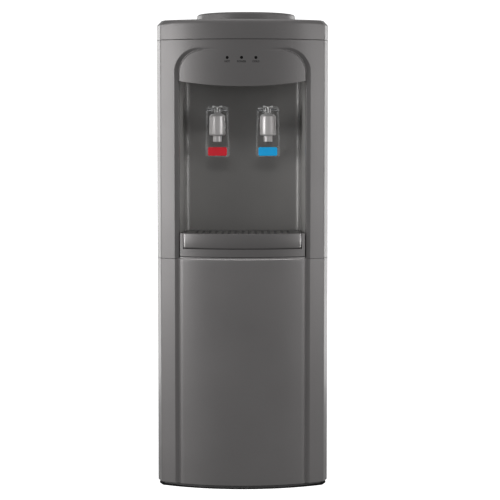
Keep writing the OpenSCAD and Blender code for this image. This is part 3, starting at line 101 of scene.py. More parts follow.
# What a finish has where its own look says nothing else; the heights of the bump are in
# millimetres, the scales are waves in a metre.
plainLook = {"blotch": 0.05, "blotchScale": 18.0, "grain": 0.1, "grainScale": 900.0,
    "fleckColour": (1, 1, 1), "roughSpread": 0.05, "peelScale": 260.0, "bump": 0.1,
    "bumpHeight": 0.1}
blotchRange = (0.3, 0.7)  # part of the noise that goes from no blotch to a full one
grainRange = (0.35, 0.65)


# A procedural finish. Soft blotches go from colour * (1 - blotch) to colour * (1 + blotch) and
# move the roughness up or down by its spread, a fine grain mixes in the fleck's colour, and a
# third noise raises a shallow bump.
def makeFinish(name, look):
    look = {**plainLook, **look}
    material = bpy.data.materials.new(name)
    material.use_nodes = True
    tree = material.node_tree
    tree.nodes.clear()
    output = tree.nodes.new("ShaderNodeOutputMaterial")
    shader = linkedNode(tree, "ShaderNodeBsdfPrincipled", look["shader"])
    tree.links.new(shader.outputs["BSDF"], output.inputs["Surface"])
    place = tree.nodes.new("ShaderNodeTexCoord")
    colour = np.array(look["colour"])
    blotch = noiseNode(tree, place, look["blotchScale"], 3.0)
    blotchShare = mapNode(tree, blotch.outputs["Fac"], *blotchRange, 0.0, 1.0)
    tint = tree.nodes.new("ShaderNodeMix")  # its colours go in at 6 and 7 and come out at 2
    tint.data_type = "RGBA"
    tree.links.new(blotchShare.outputs["Result"], tint.inputs[0])
    change = look["blotch"]
    tint.inputs[6].default_value = (*np.clip(colour * (1 - change), 0, 1), 1)
    tint.inputs[7].default_value = (*np.clip(colour * (1 + change), 0, 1), 1)
    grain = noiseNode(tree, place, look["grainScale"])
    grainShare = mapNode(tree, grain.outputs["Fac"], *grainRange, 0.0, look["grain"])
    fleck = tree.nodes.new("ShaderNodeMix")
    fleck.data_type = "RGBA"
    tree.links.new(grainShare.outputs["Result"], fleck.inputs[0])
    tree.links.new(tint.outputs[2], fleck.inputs[6])
    fleck.inputs[7].default_value = (*look["fleckColour"], 1)
    tree.links.new(fleck.outputs[2], shader.inputs["Base Color"])
    rough, spread = look["shader"]["Roughness"], look["roughSpread"]
    roughness = mapNode(tree, blotch.outputs["Fac"], *blotchRange, rough - spread,
        rough + spread)
    tree.links.new(roughness.outputs["Result"], shader.inputs["Roughness"])
    peel = noiseNode(tree, place, look["peelScale"])
    if "stretch" in look:
        squeeze = linkedNode(tree, "ShaderNodeMapping", {"Scale": look["stretch"]},
            Vector=place.outputs["Object"])
        tree.links.new(squeeze.outputs["Vector"], peel.inputs["Vector"])
    bump = linkedNode(tree, "ShaderNodeBump", {"Strength": look["bump"],
        "Distance": look["bumpHeight"] * mm}, Height=peel.outputs["Fac"])
    tree.links.new(bump.outputs["Normal"], shader.inputs["Normal"])
    return material


print("stage: finishes")
lacquer = {"colour": (0.165, 0.159, 0.158), "grain": 0.05, "grainScale": 1800.0,
    "fleckColour": (0.55, 0.53, 0.53), "blotch": 0.03, "blotchScale": 9.0, "peelScale": 420.0,
    "bump": 0.12, "bumpHeight": 0.05, "roughSpread": 0.03,
    "shader": {"Metallic": 0.72, "Roughness": 0.43, "Coat Weight": 0.22, "Coat Roughness": 0.18}}
looks = {
    "graphite_plastic": lacquer,
    "graphite_enamel": {**lacquer, "grain": 0.03, "peelScale": 260.0,
        "shader": {**lacquer["shader"], "Roughness": 0.38}},
    "dark_enamel": {"colour": (0.035, 0.034, 0.034), "grain": 0.06, "peelScale": 300.0,
        "shader": {"Metallic": 0.2, "Roughness": 0.48}},
    "black_enamel": {"colour": (0.012, 0.012, 0.012), "grain": 0.03, "peelScale": 240.0,
        "shader": {"Roughness": 0.36, "Coat Weight": 0.3, "Coat Roughness": 0.2}},
    "niche_plastic": {"colour": (0.200, 0.195, 0.189), "grain": 0.04, "grainScale": 1500.0,
        "fleckColour": (0.45, 0.43, 0.43), "blotch": 0.03, "peelScale": 500.0, "bump": 0.1,
        "bumpHeight": 0.04, "roughSpread": 0.03,
        "shader": {"Metallic": 0.12, "Roughness": 0.38, "Coat Weight": 0.2,
            "Coat Roughness": 0.2}},
    "dark_plastic": {"colour": (0.030, 0.030, 0.031), "grain": 0.05, "peelScale": 700.0,
        "bump": 0.2, "shader": {"Roughness": 0.5}},
    "lens": {"colour": (0.002, 0.002, 0.002), "grain": 0.0, "bump": 0.02,
        "shader": {"Roughness": 0.3, "Specular IOR Level": 0.12}},
    "board_green": {"colour": (0.02, 0.10, 0.04), "grain": 0.05,
        "shader": {"Roughness": 0.35, "Coat Weight": 0.4}},
    "zinc_steel": {"colour": (0.55, 0.56, 0.57), "blotch": 0.12, "blotchScale": 60.0,
        "grain": 0.1, "fleckColour": (0.8, 0.82, 0.84), "shader": {"Metallic": 0.95,
        "Roughness": 0.4}},
    "stainless": {"colour": (0.60, 0.60, 0.59), "blotch": 0.04, "grain": 0.05,
        "stretch": (1, 1, 14), "peelScale": 300.0, "bump": 0.15,
        "shader": {"Metallic": 1.0, "Roughness": 0.26}},
    "natural_plastic": {"colour": (0.72, 0.72, 0.68), "grain": 0.04, "blotch": 0.03,
        "shader": {"Roughness": 0.42, "Subsurface Weight": 0.15}},
    "foam": {"colour": (0.78, 0.74, 0.60), "grain": 0.25, "grainScale": 500.0,
        "fleckColour": (0.55, 0.50, 0.36), "peelScale": 350.0, "bump": 0.8, "bumpHeight": 0.6,
        "shader": {"Roughness": 0.95}},
    "copper": {"colour": (0.62, 0.27, 0.14), "blotch": 0.2, "blotchScale": 70.0, "grain": 0.1,
        "fleckColour": (0.36, 0.16, 0.10), "shader": {"Metallic": 0.95, "Roughness": 0.3}},
    "silicone": {"colour": (0.75, 0.76, 0.74), "grain": 0.02,
        "shader": {"Roughness": 0.3, "Subsurface Weight": 0.3}},
    "black_rubber": {"colour": (0.018, 0.018, 0.018), "grain": 0.12, "grainScale": 1200.0,
        "fleckColour": (0.05, 0.05, 0.05), "bump": 0.3, "shader": {"Roughness": 0.72}},
    "silver_plastic": {"colour": (0.62, 0.60, 0.595), "grain": 0.06, "grainScale": 2200.0,
        "blotch": 0.03, "peelScale": 600.0, "bump": 0.06, "bumpHeight": 0.04,
        "roughSpread": 0.03, "shader": {"Metallic": 0.4, "Roughness": 0.3,
        "Coat Weight": 0.3, "Coat Roughness": 0.1}},
    "clear_plastic": {"colour": (0.95, 0.96, 0.96), "grain": 0.0, "blotch": 0.01, "bump": 0.02,
        "roughSpread": 0.01, "shader": {"Roughness": 0.03, "Transmission Weight": 0.98,
        "IOR": 1.44}},
    "red_plastic": {"colour": (0.80, 0.012, 0.030), "grain": 0.03, "blotch": 0.05,
        "fleckColour": (0.8, 0.2, 0.22), "shader": {"Roughness": 0.32, "Coat Weight": 0.08,
        "Coat Roughness": 0.1, "Specular IOR Level": 0.25}},
    "blue_plastic": {"colour": (0.003, 0.46, 0.96), "grain": 0.03, "blotch": 0.05,
        "fleckColour": (0.2, 0.55, 0.85), "shader": {"Roughness": 0.32, "Coat Weight": 0.08,
        "Coat Roughness": 0.1, "Specular IOR Level": 0.25}},
    "bright_silver": {"colour": (0.80, 0.79, 0.785), "grain": 0.03, "bump": 0.04,
        "shader": {"Metallic": 0.4, "Roughness": 0.24, "Coat Weight": 0.3,
        "Coat Roughness": 0.08}},
    "pin_steel": {"colour": (0.16, 0.16, 0.16), "shader": {"Metallic": 0.8, "Roughness": 0.45}},
    "grid_grey": {"colour": (0.150, 0.146, 0.143), "grain": 0.05, "peelScale": 400.0,
        "shader": {"Metallic": 0.3, "Roughness": 0.45}},
    "ink": {"colour": (0.012, 0.012, 0.012), "grain": 0.0, "shader": {"Roughness": 0.5}},
}
finishes = {name: makeFinish(name, look) for name, look in looks.items()}


# Surfaces

# How meshes are merged and their edges rounded: gaps in metres, angles in degrees.
meshRules = {"weldGap": hair, "seamGap": 2 * hair, "flatAngle": 0.4, "bevelAngle": 38,
    "bevelSegments": 2}


# Makes a piece from points and faces, smooth except at creases, with rounded edges where a
# bevel width is given: at all sharp edges, or only at the pairs of points in rimEdges.
def addPiece(name, points, faces, look, body, nodes=(), bevel=0, crease=50, rimEdges=None,
        weld=False):
    mesh = bpy.data.meshes.new(name)
    mesh.from_pydata(np.asarray(points).tolist(), [], faces)
    if weld:
        work = bmesh.new()
        work.from_mesh(mesh)
        bmesh.ops.remove_doubles(work, verts=work.verts, dist=meshRules["weldGap"])
        work.to_mesh(mesh)
        work.free()
    mesh.update()
    mesh.shade_smooth()
    if rimEdges is not None and bevel:
        ends = np.empty(len(mesh.edges) * 2, dtype=np.int64)
        mesh.edges.foreach_get("vertices", ends)
        ends = np.sort(ends.reshape(-1, 2), axis=1)
        rims = np.sort(rimEdges, axis=1)
        span = len(mesh.vertices)
        onRim = np.isin(ends[:, 0] * span + ends[:, 1], rims[:, 0] * span + rims[:, 1])
        weights = mesh.attributes.new("bevel_weight_edge", "FLOAT", "EDGE")
        weights.data.foreach_set("value", onRim.astype(np.float32))
    mesh.set_sharp_from_angle(angle=math.radians(crease))
    piece = bpy.data.objects.new(name, mesh)
    bpy.context.scene.collection.objects.link(piece)
    return finishPiece(piece, look, body, nodes, bevel, rimEdges is not None)


# Gives a piece its finish and its rounded edges, hangs it on the body that it rides on, and
# hides the CAD nodes that it stands for.
def finishPiece(piece, look, body, nodes, bevel=0, byWeight=False):
    piece.data.materials.clear()
    piece.data.materials.append(finishes[look])
    if bevel:
        rounder = piece.modifiers.new("edges", "BEVEL")
        rounder.width = bevel
        rounder.segments = meshRules["bevelSegments"]
        rounder.limit_method = "WEIGHT" if byWeight else "ANGLE"
        rounder.angle_limit = math.radians(meshRules["bevelAngle"])
        rounder.harden_normals = False
    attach(piece, body)
    if nodes:
        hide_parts(*nodes)
    return piece


# A copy of a CAD part with its seams merged and its flat areas joined, edges then rounded.
def dressCopy(node, bevel, look=None, crease=32):
    mesh = frame["nodes"][node].data.copy()
    mesh.name = node + "_dressed"
    work = bmesh.new()
    work.from_mesh(mesh)
    bmesh.ops.remove_doubles(work, verts=work.verts, dist=meshRules["seamGap"])
    bmesh.ops.dissolve_limit(work, angle_limit=math.radians(meshRules["flatAngle"]),
        verts=work.verts, edges=work.edges)
    work.to_mesh(mesh)
    work.free()
    mesh.shade_smooth()
    mesh.set_sharp_from_angle(angle=math.radians(crease))
    piece = bpy.data.objects.new(node + "_dressed", mesh)
    bpy.context.scene.collection.objects.link(piece)
    return finishPiece(piece, look or slotOf[node], bodyOf[node], [node], bevel * mm)


# Quads of a grid of nu by nv points; a closed direction joins its last row to its first.
def gridFaces(nu, nv, closeU=False, closeV=False):
    i, j = np.meshgrid(np.arange(nu if closeU else nu - 1), np.arange(nv if closeV else nv - 1),
        indexing="ij")
    i, j = i.ravel(), j.ravel()
    iNext, jNext = (i + 1) % nu, (j + 1) % nv
    return np.column_stack([i * nv + j, iNext * nv + j, iNext * nv + jNext, i * nv + jNext])


# A sheet with thickness: the kept quads of an outer grid, the same of an inner grid turned
# over, and a wall along each edge that only one kept quad has.
def sheetShell(outer, inner, keep=None):
    nu, nv = outer.shape[:2]
    quads = gridFaces(nu, nv)
    if keep is not None:
        quads = quads[keep.ravel()]
    total = nu * nv
    edges = np.concatenate([quads[:, [k, (k + 1) % 4]] for k in range(4)])
    there = edges[:, 0] * total + edges[:, 1]
    back = edges[:, 1] * total + edges[:, 0]
    rim = edges[~np.isin(back, there)]
    walls = np.column_stack([rim[:, 1], rim[:, 0], rim[:, 0] + total, rim[:, 1] + total])
    faces = np.concatenate([quads, quads[:, ::-1] + total, walls])
    points = np.concatenate([outer.reshape(-1, 3), inner.reshape(-1, 3)])
    used, order = np.unique(faces, return_inverse=True)
    place = np.zeros(2 * total, dtype=np.int64)
    place[used] = np.arange(len(used))
    return points[used], order.reshape(faces.shape).tolist(), place[rim]


# Rounds the corners of a polyline: each corner becomes an arc of its radius, tangent to both
# sides, which starts at radius / tan(half the inner angle) from the corner.
def roundCorners(points, radii, steps=4, closed=False):
    points = np.asarray(points, float)
    count = len(points)
    radii = np.broadcast_to(radii, count)
    share = np.linspace(0, 1, steps + 1)[:, None]
    out = []
    for i in range(count):
        if radii[i] <= 0 or (not closed and i in (0, count - 1)):
            out.append(points[i:i + 1])
            continue
        before, after = points[i - 1] - points[i], points[(i + 1) % count] - points[i]
        shorter = min(np.linalg.norm(before), np.linalg.norm(after))
        before, after = before / np.linalg.norm(before), after / np.linalg.norm(after)
        half = math.acos(np.clip(before @ after, -1, 1)) / 2
        reach = min(radii[i] / math.tan(half), 0.48 * shorter)  # neighbouring arcs never meet
        radius = reach * math.tan(half)
        middle = (before + after) / np.linalg.norm(before + after)
        centre = points[i] + middle * radius / math.sin(half)
        start, end = points[i] + before * reach - centre, points[i] + after * reach - centre
        turn = math.pi - 2 * half
        out.append(centre + (np.sin((1 - share) * turn) * start + np.sin(share * turn) * end)
            / math.sin(turn))
    return np.vstack(out)


# Turns a closed profile of (radius, height) points about an upright axis.
def turnedPoints(profile, segments):
    angle = np.linspace(0, 2 * math.pi, segments, endpoint=False)[:, None]
    radius, height = profile[None, :, 0], profile[None, :, 1]
    return np.stack([radius * np.cos(angle), radius * np.sin(angle),
        height + 0 * angle], axis=-1)


# A turned piece: the profile's corners are rounded, and each point goes round the axis at its
# own radius. The axis stands upright at the centre, or runs forwards from it where axis is y.
def lathePiece(name, profile, radii, centre, look, body, nodes=(), segments=96, axis="z",
        steps=4):
    outline = roundCorners(profile, np.asarray(radii, float), steps, closed=True)
    points = turnedPoints(outline, segments).reshape(-1, 3)
    if axis == "y":
        points = np.column_stack([points[:, 0], -points[:, 2], points[:, 1]])
    faces = gridFaces(segments, len(outline), True, True).tolist()
    return addPiece(name, points + np.asarray(centre), faces, look, body, nodes, weld=True)


# Goes from 0 to 1 with a soft start and end: three t squared less two t cubed.
def smoothStep(t):
    t = np.clip(t, 0, 1)
    return t * t * (3 - 2 * t)


# Front of the casing

print("stage: front panels")
casing = metres({"bulgeRadius": 290, "flangeHalf": 147.6, "cornerOut": 7.4, "cornerBack": 21.6,
    "wall": 2.5, "cornerRound": 7, "sideRound": 9, "rim": 0.4})
groove = metres({"inner": 114.2, "outer": 122, "radius": 240, "fadeHalf": 40, "top": 793,
    "outerRound": 44, "innerRound": 41, "topWidth": 4, "rise": 2.0, "edge": 0.4})
hood = metres({"endZ": 734, "sag": 10, "blendZ": 760, "lipStart": 2.2, "lipDepth": 14.5,
    "lipThick": 3, "lipHalf": 112.9, "lipLift": 0.04, "lipEdge": 0.5})
frontGrid = metres({"fineFrom": 60, "pitch": 0.9, "fineGap": 0.4, "flatEnd": 141})
halfWidth = high("upper_front_panel").x
frontY = low("upper_front_panel").y
sideY = high("upper_front_panel").y
curveY = frontY + casing["bulgeRadius"]


# Front face of the bulge at x, moved in by an inset: the near side of a circle about curveY.
def frontAt(x, inset=0.0):
    return curveY - np.sqrt((casing["bulgeRadius"] - inset) ** 2 - np.square(x))


cornerFrontY = float(frontAt(casing["flangeHalf"]))
cornerRearY = cornerFrontY + casing["cornerBack"]
grooveY = float(frontAt(groove["fadeHalf"])) + math.sqrt(groove["radius"] ** 2
    - groove["fadeHalf"] ** 2)


# Plan of the front from its left rear edge to its right rear edge: the bulge's arc, then the
# rounded swept corner and the straight return; mirrored to the left.
def frontColumns(xLines):
    arc = np.column_stack([xLines, frontAt(xLines)])
    corner = roundCorners([arc[-1], (casing["flangeHalf"], cornerFrontY), (halfWidth, cornerRearY),
        (halfWidth, sideY)], [0, casing["cornerRound"], casing["sideRound"], 0], 6)
    right = np.vstack([arc[:-1], corner])
    left = right[:0:-1] * np.array([-1, 1])
    return np.vstack([left, right])


# Outward unit normals of a plan: each direction along it, turned clockwise by a quarter turn.
def planNormals(plan):
    along = np.gradient(plan, axis=0)
    along /= np.linalg.norm(along, axis=1)[:, None]
    return np.column_stack([along[:, 1], -along[:, 0]])


# Signed distance to an arch, an upright shape with two rounded upper corners: negative inside.
def archDistance(x, z, half, top, radius):
    dx, dz = np.abs(x) - (half - radius), z - (top - radius)
    outside = np.hypot(np.maximum(dx, 0), np.maximum(dz, 0))
    return outside + np.minimum(np.maximum(dx, dz), 0) - radius


# Depth of the front groove: a slanted V. It grows evenly from nothing at the outer arch to the
# groove's own arc at the inner arch, and comes back to the front over the rise inside it.
def grooveDepth(x, z):
    outer = archDistance(x, z, groove["outer"], groove["top"], groove["outerRound"])
    inner = archDistance(x, z, groove["inner"], groove["top"] - groove["topWidth"],
        groove["innerRound"])
    slant = np.clip(-outer / np.maximum(np.maximum(inner, 0) - outer, hair), 0, 1)
    share = slant * smoothStep(1 + inner / groove["rise"])
    x = np.clip(x, -casing["flangeHalf"], casing["flangeHalf"])
    floor = grooveY - np.sqrt(groove["radius"] ** 2 - x ** 2)
    return share * np.maximum(floor - frontAt(x), 0)


# Lower edge of the hood: an arc through both ends at the inner arch that hangs lower by its sag
# in the middle, and level outside the arch.
def hoodEdge(x):
    radius = (groove["inner"] ** 2 + hood["sag"] ** 2) / (2 * hood["sag"])
    arc = hood["endZ"] - hood["sag"] + radius - np.sqrt(radius ** 2 - np.minimum(np.square(x),
        groove["inner"] ** 2))
    return np.where(np.abs(x) < groove["inner"], arc, hood["endZ"])


# Columns of the front from its middle to the flat beside the groove: even steps, closer ones in
# the groove's rise and slant and one just outside it. A dense front also has close steps where
# the arch bends.
def grooveLines(dense):
    rise = np.linspace(groove["inner"] - groove["rise"], groove["inner"], 6)
    slant = np.linspace(groove["inner"], groove["outer"], 8)[1:]
    slant = np.append(slant, slant[-1] + groove["edge"])
    if dense:
        start = [np.linspace(0, frontGrid["fineFrom"], 11)[:-1],
            np.arange(frontGrid["fineFrom"], rise[0] - frontGrid["fineGap"], frontGrid["pitch"])]
    else:
        start = [np.linspace(0, rise[0], 20)[:-1]]
    flat = np.linspace(slant[-1], frontGrid["flatEnd"], 6)[1:]
    return np.concatenate(start + [rise, slant, flat])


# The casing's skin over a plan and its heights: y is the plan's own plus the groove's depth plus
# a set-back, and the inner skin lies one wall further in along the plan's normals.
def casingSheet(plan, heights, back):
    x, y = plan[:, None, 0] + 0 * heights, plan[:, None, 1] + 0 * heights
    y = y + grooveDepth(x, heights) + back
    outer = np.stack([x, y, heights], axis=-1)
    inward = -planNormals(plan)[:, None, :] * casing["wall"]
    inner = outer.copy()
    inner[..., :2] += inward
    return outer, inner


# Upper front: level rows, which bend to the hood's arc between its end height and the blend
# height, with the middle below the hood left open. A lip under the hood follows the same arc.
def makeUpperFront():
    bottom, top = low("upper_front_panel").z, high("upper_front_panel").z
    plan = frontColumns(grooveLines(True))
    legs = np.linspace(bottom, hood["endZ"], 24)
    blend = np.linspace(hood["endZ"], hood["blendZ"], 30)[1:]
    above = np.arange(hood["blendZ"] + frontGrid["pitch"], groove["top"] + mm,
        frontGrid["pitch"])
    lines = np.concatenate([legs, blend, above, np.linspace(above[-1] + 3 * mm, top, 5)])
    edge = hoodEdge(plan[:, 0])[:, None]
    lift = (lines[None] - hood["endZ"]) / (hood["blendZ"] - hood["endZ"])
    heights = np.where((lines[None] >= hood["endZ"] - hair) & (lines[None] < hood["blendZ"]),
        edge + lift * (hood["blendZ"] - edge), lines[None] + 0 * edge)
    outer, inner = casingSheet(plan, heights, 0)
    middle = (np.abs(plan[:-1, 0] + plan[1:, 0]) / 2 < groove["inner"])[:, None]
    belowHood = (lines[:-1] < hood["endZ"] - hair)[None]
    points, faces, rim = sheetShell(outer, inner, ~(middle & belowHood))
    addPiece("upper_front", points, faces, "graphite_plastic", "cabinet",
        ["upper_front_panel"], bevel=casing["rim"], rimEdges=rim)
    x = np.linspace(-hood["lipHalf"], hood["lipHalf"], 61)[:, None]
    back = np.linspace(hood["lipStart"], hood["lipDepth"], 5)[None]
    under = np.stack([x + 0 * back, frontAt(x) + grooveDepth(x, hoodEdge(x)) + back,
        hoodEdge(x) + hood["lipLift"] + 0 * back], axis=-1)[:, ::-1]
    points, faces, rim = sheetShell(under, under + [0, 0, hood["lipThick"]])
    addPiece("hood_lip", points, faces, "graphite_plastic", "cabinet", bevel=hood["lipEdge"],
        rimEdges=rim)


lowerFront = metres({"seamZ": 415, "middleHalf": 113.85, "flatEnd": 6, "slopeStart": 1.1,
    "slopeBack": 1.9, "slope": [[-1.0, 2.1], [-0.3, 2.4], [0, 3.0], [0, 11.4]],
    "brow": [[-1.2, 0], [-0.6, 0.1], [-0.1, 0.3], [0.3, 0.6], [0.7, 1.0], [1.0, 1.4]]})


# Lower front: level rows up to the seam. In its middle the brow's rows, given as height over the
# seam and depth, roll back to a ledge, and the slope's rows, given as height from the top and
# depth, carry it on under the tray shelf. At both sides the sheet ends at the seam.
def makeLowerFront():
    bottom, top = low("lower_front_panel").z, high("lower_front_panel").z
    seamZ, middleHalf = lowerFront["seamZ"], lowerFront["middleHalf"]
    xLines = grooveLines(False)
    xLines[np.abs(xLines - groove["inner"]).argmin()] = middleHalf
    plan = frontColumns(xLines)
    flat = np.linspace(bottom, seamZ - lowerFront["flatEnd"], 40)
    browZ, browBack = lowerFront["brow"].T
    slopeZ = np.append(seamZ + lowerFront["slopeStart"], top + lowerFront["slope"][:, 0])
    slopeBack = np.append(lowerFront["slopeBack"], lowerFront["slope"][:, 1])
    seamRow = len(flat) + len(browZ) - 1
    browRows = slice(len(flat), seamRow + 1)
    middle = np.abs(plan[:, 0]) < middleHalf + hair
    lines = np.concatenate([flat, seamZ + browZ, slopeZ])
    heights = lines[None] + 0 * plan[:, :1]
    heights[:, browRows] -= np.where(middle, 0, browZ[-1])[:, None]
    setBack = np.concatenate([0 * flat, browBack, slopeBack])[None] * middle[:, None]
    outer, inner = casingSheet(plan, heights, setBack)
    keepMiddle = (middle[:-1] & middle[1:])[:, None]
    keep = np.where(np.arange(len(lines) - 1)[None] < seamRow, True, keepMiddle)
    thin = casing["wall"] * 0.6  # the inner skin's drop below the ledge
    inner[:, browRows, 2] = np.linspace(flat[-1], seamZ - thin, len(browZ) + 1)[None, 1:]
    inner[:, seamRow + 1:, 2] -= thin
    points, faces, rim = sheetShell(outer, inner, keep)
    addPiece("lower_front", points, faces, "graphite_plastic", "cabinet",
        ["lower_front_panel"], bevel=casing["rim"], rimEdges=rim)


makeUpperFront()
makeLowerFront()


# Niche

print("stage: niche and tray")
niche = metres({"half": 114.2, "rearHalf": 107.5, "fillet": 13, "wall": 2.2, "rearY": -22,
    "ceilingHalf": 111.3, "ceilingInset": 2.8, "ceilingLap": 1, "frontHalf": 122, "frontBack": 6,
    "edge": 0.4})
ceilingBend = 0.3  # share of the ceiling's columns that lie ahead of the walls' front edges


# Niche: the walls stand over a plan that narrows to the rear and has two rounded rear corners.
# The ceiling goes from the front's arc to the walls' front edges and on to the rear wall, as
# wide as the walls are apart where it lies between them.
def makeNiche():
    bottom, top = low("niche_liner").z, high("niche_liner").z
    nicheFront = float(frontAt(niche["frontHalf"])) + niche["frontBack"]
    corners = [(-niche["half"], nicheFront), (-niche["rearHalf"], niche["rearY"]),
        (niche["rearHalf"], niche["rearY"]), (niche["half"], nicheFront)]
    steps = 10
    plan = roundCorners(corners, [0, niche["fillet"], niche["fillet"], 0], steps)
    rear = steps + 1  # where the rear wall begins, at the end of the first fillet
    wide = np.linspace(plan[rear], plan[rear + 1], 20)[1:-1]
    plan = np.vstack([np.linspace(plan[0], plan[1], 8)[:-1], plan[1:rear + 1], wide,
        plan[rear + 1:-1], np.linspace(plan[-2], plan[-1], 8)[1:]])
    normals = planNormals(plan)
    heights = np.append(np.linspace(bottom, top - niche["wall"], 30), top)
    inner = np.concatenate([np.repeat(plan[:, None], len(heights), 1),
        np.broadcast_to(heights[None, :, None], (len(plan), len(heights), 1))], axis=-1)
    outer = inner.copy()
    outer[..., :2] -= normals[:, None] * niche["wall"]
    points, faces, rim = sheetShell(inner, outer)
    addPiece("niche_walls", points, faces, "niche_plastic", "cabinet", ["niche_liner"],
        bevel=niche["edge"], rimEdges=rim)
    share = np.linspace(-1, 1, 41)[:, None]
    reach = np.linspace(0, 1, 24)[None]
    arcY = frontAt(share * niche["ceilingHalf"], niche["ceilingInset"])
    rearY = niche["rearY"] + niche["ceilingLap"]
    y = np.where(reach < ceilingBend, arcY + (nicheFront - arcY) * reach / ceilingBend,
        nicheFront + (rearY - nicheFront) * (reach - ceilingBend) / (1 - ceilingBend))
    side = niche["half"] + (niche["rearHalf"] - niche["half"]) * (y - nicheFront) / (
        niche["rearY"] - nicheFront)
    half = np.where(y < nicheFront + 0.1 * mm, niche["ceilingHalf"], side + niche["ceilingLap"])
    ceiling = np.stack([share * half, y, top - niche["wall"] + 0 * y], axis=-1)[:, ::-1]
    points, faces, rim = sheetShell(ceiling, ceiling + [0, 0, niche["wall"] - 0.1 * mm])
    addPiece("niche_ceiling", points, faces, "niche_plastic", "cabinet")


makeNiche()
dressCopy("tray_shelf", 0.5)
shelfFront = metres({"half": 112.5, "opening": 106.95, "inset": 1.2, "thick": 3.3, "gap": 0.3,
    "edge": 0.4})


# Front of the tray shelf, flush with its two cheeks: a sheet along the bulge's arc, with the
# room for the tray cut out of its upper part.
def makeShelfFront():
    floorZ = low("drip_tray").z - shelfFront["gap"]
    cheek = np.linspace(shelfFront["opening"], shelfFront["half"], 4)
    x = np.concatenate([-cheek[:0:-1], np.linspace(-cheek[0], cheek[0], 61), cheek[1:]])
    z = np.concatenate([np.linspace(low("tray_shelf").z, floorZ, 8),
        np.linspace(floorZ, high("tray_shelf").z, 12)[1:]])
    outer = np.stack([x[:, None] + 0 * z, frontAt(x, shelfFront["inset"])[:, None] + 0 * z,
        z + 0 * x[:, None]], axis=-1)
    room = (np.abs(x[:-1] + x[1:]) / 2 < shelfFront["opening"])[:, None] & (z[:-1] >= floorZ)
    points, faces, rim = sheetShell(outer, outer + [0, shelfFront["thick"], 0], ~room)
    addPiece("shelf_front", points, faces, "graphite_plastic", "cabinet",
        bevel=shelfFront["edge"], rimEdges=rim)


makeShelfFront()
tray = metres({"half": 106.8, "wall": 2.2, "frontRound": 8, "rearRound": 10, "leastRound": 1,
    "ledge": 2, "ledgeGap": 0.3, "foot": [[3.0, 0], [1.5, 0.4], [0.4, 1.5], [0, 3.0]],
    "rim": [[0, -1.2], [0.2, -0.4], [0.7, 0]]})


# Plan of the tray, moved in by an inset: the bulge's arc between two rounded corners, straight
# sides and a flat back with rounded corners.
def trayOutline(inset, rearY):
    half, rear = tray["half"] - inset, rearY - inset
    x = np.linspace(-half, half, 41)
    bend = 3  # columns of the arc that each front corner takes the place of
    x = np.concatenate([x[:1], x[bend:-bend], x[-1:]])
    points = np.vstack([np.column_stack([x, frontAt(x, inset)]), [(half, rear), (-half, rear)]])
    radii = np.zeros(len(points))
    radii[[0, len(x) - 1]] = max(tray["frontRound"] - inset, tray["leastRound"])
    radii[len(x):] = max(tray["rearRound"] - inset, tray["leastRound"])
    return roundCorners(points, radii, 6, closed=True)


# Closed skin through outlines of equal count at given heights, ends closed by flat faces.
def loftFaces(rows, count):
    faces = gridFaces(rows, count, closeV=True)[:, ::-1].tolist()
    return faces + [list(range(count))[::-1], [(rows - 1) * count + k for k in range(count)]]


# Tray: one skin through its plan at each row's inset and height, up its outside from the rounded
# foot, over the rim, down to the grid's ledge and on to the floor.
def makeTray():
    bottom, top = low("drip_tray").z, high("drip_tray").z
    rearY = high("drip_tray").y
    ledgeZ = low("drip_grid").z - tray["ledgeGap"]
    wall, room = tray["wall"], tray["wall"] + tray["ledge"]
    rows = [*(tray["foot"] + [0, bottom]), *(tray["rim"] + [0, top]), (wall - 0.5 * mm, top),
        (wall, top - 0.5 * mm), (wall, ledgeZ + 0.2 * mm), (wall + 0.2 * mm, ledgeZ),
        (room - 0.3 * mm, ledgeZ), (room, ledgeZ - 0.3 * mm), (room, bottom + wall + 1.5 * mm),
        (room + 1.5 * mm, bottom + wall)]
    outlines = [trayOutline(inset, rearY) for inset, z in rows]
    points = np.vstack([np.column_stack([outline, np.full(len(outline), z)])
        for outline, (inset, z) in zip(outlines, rows)])
    addPiece("tray_shell", points, loftFaces(len(rows), len(outlines[0])), "graphite_plastic",
        "tray", ["drip_tray"], crease=60)


makeTray()
dressCopy("drip_grid", 0.6, "grid_grey")


# Top cover and bottle seat

print("stage: cover and bottle seat")
cover = metres({"lip": 1, "edgeRound": 5, "edgeHigh": 8.5, "rearRound": 5, "wall": 3.5,
    "deck": 2.5, "holeRadius": 81, "chamferWide": 8, "chamferHigh": 9.3, "chamferFrom": 138,
    "chamferBlend": 14, "foot": [[0.3, 0], [0, 0.4], [0, 1.0]]})
# How far in and how far up the chamfer's rows lie, and how far the deck's rows are to the hole.
coverShares = {"slant": [0, 0.01, 0.04, 0.10, 0.5, 0.90, 0.96, 0.99, 1],
    "rise": [0, 0.03, 0.075, 0.14, 0.5, 0.86, 0.925, 0.97, 1], "deck": [0.15, 0.5, 0.85, 1]}
bottleX = (low("bottle_collar").x + high("bottle_collar").x) / 2
bottleY = (low("bottle_collar").y + high("bottle_collar").y) / 2


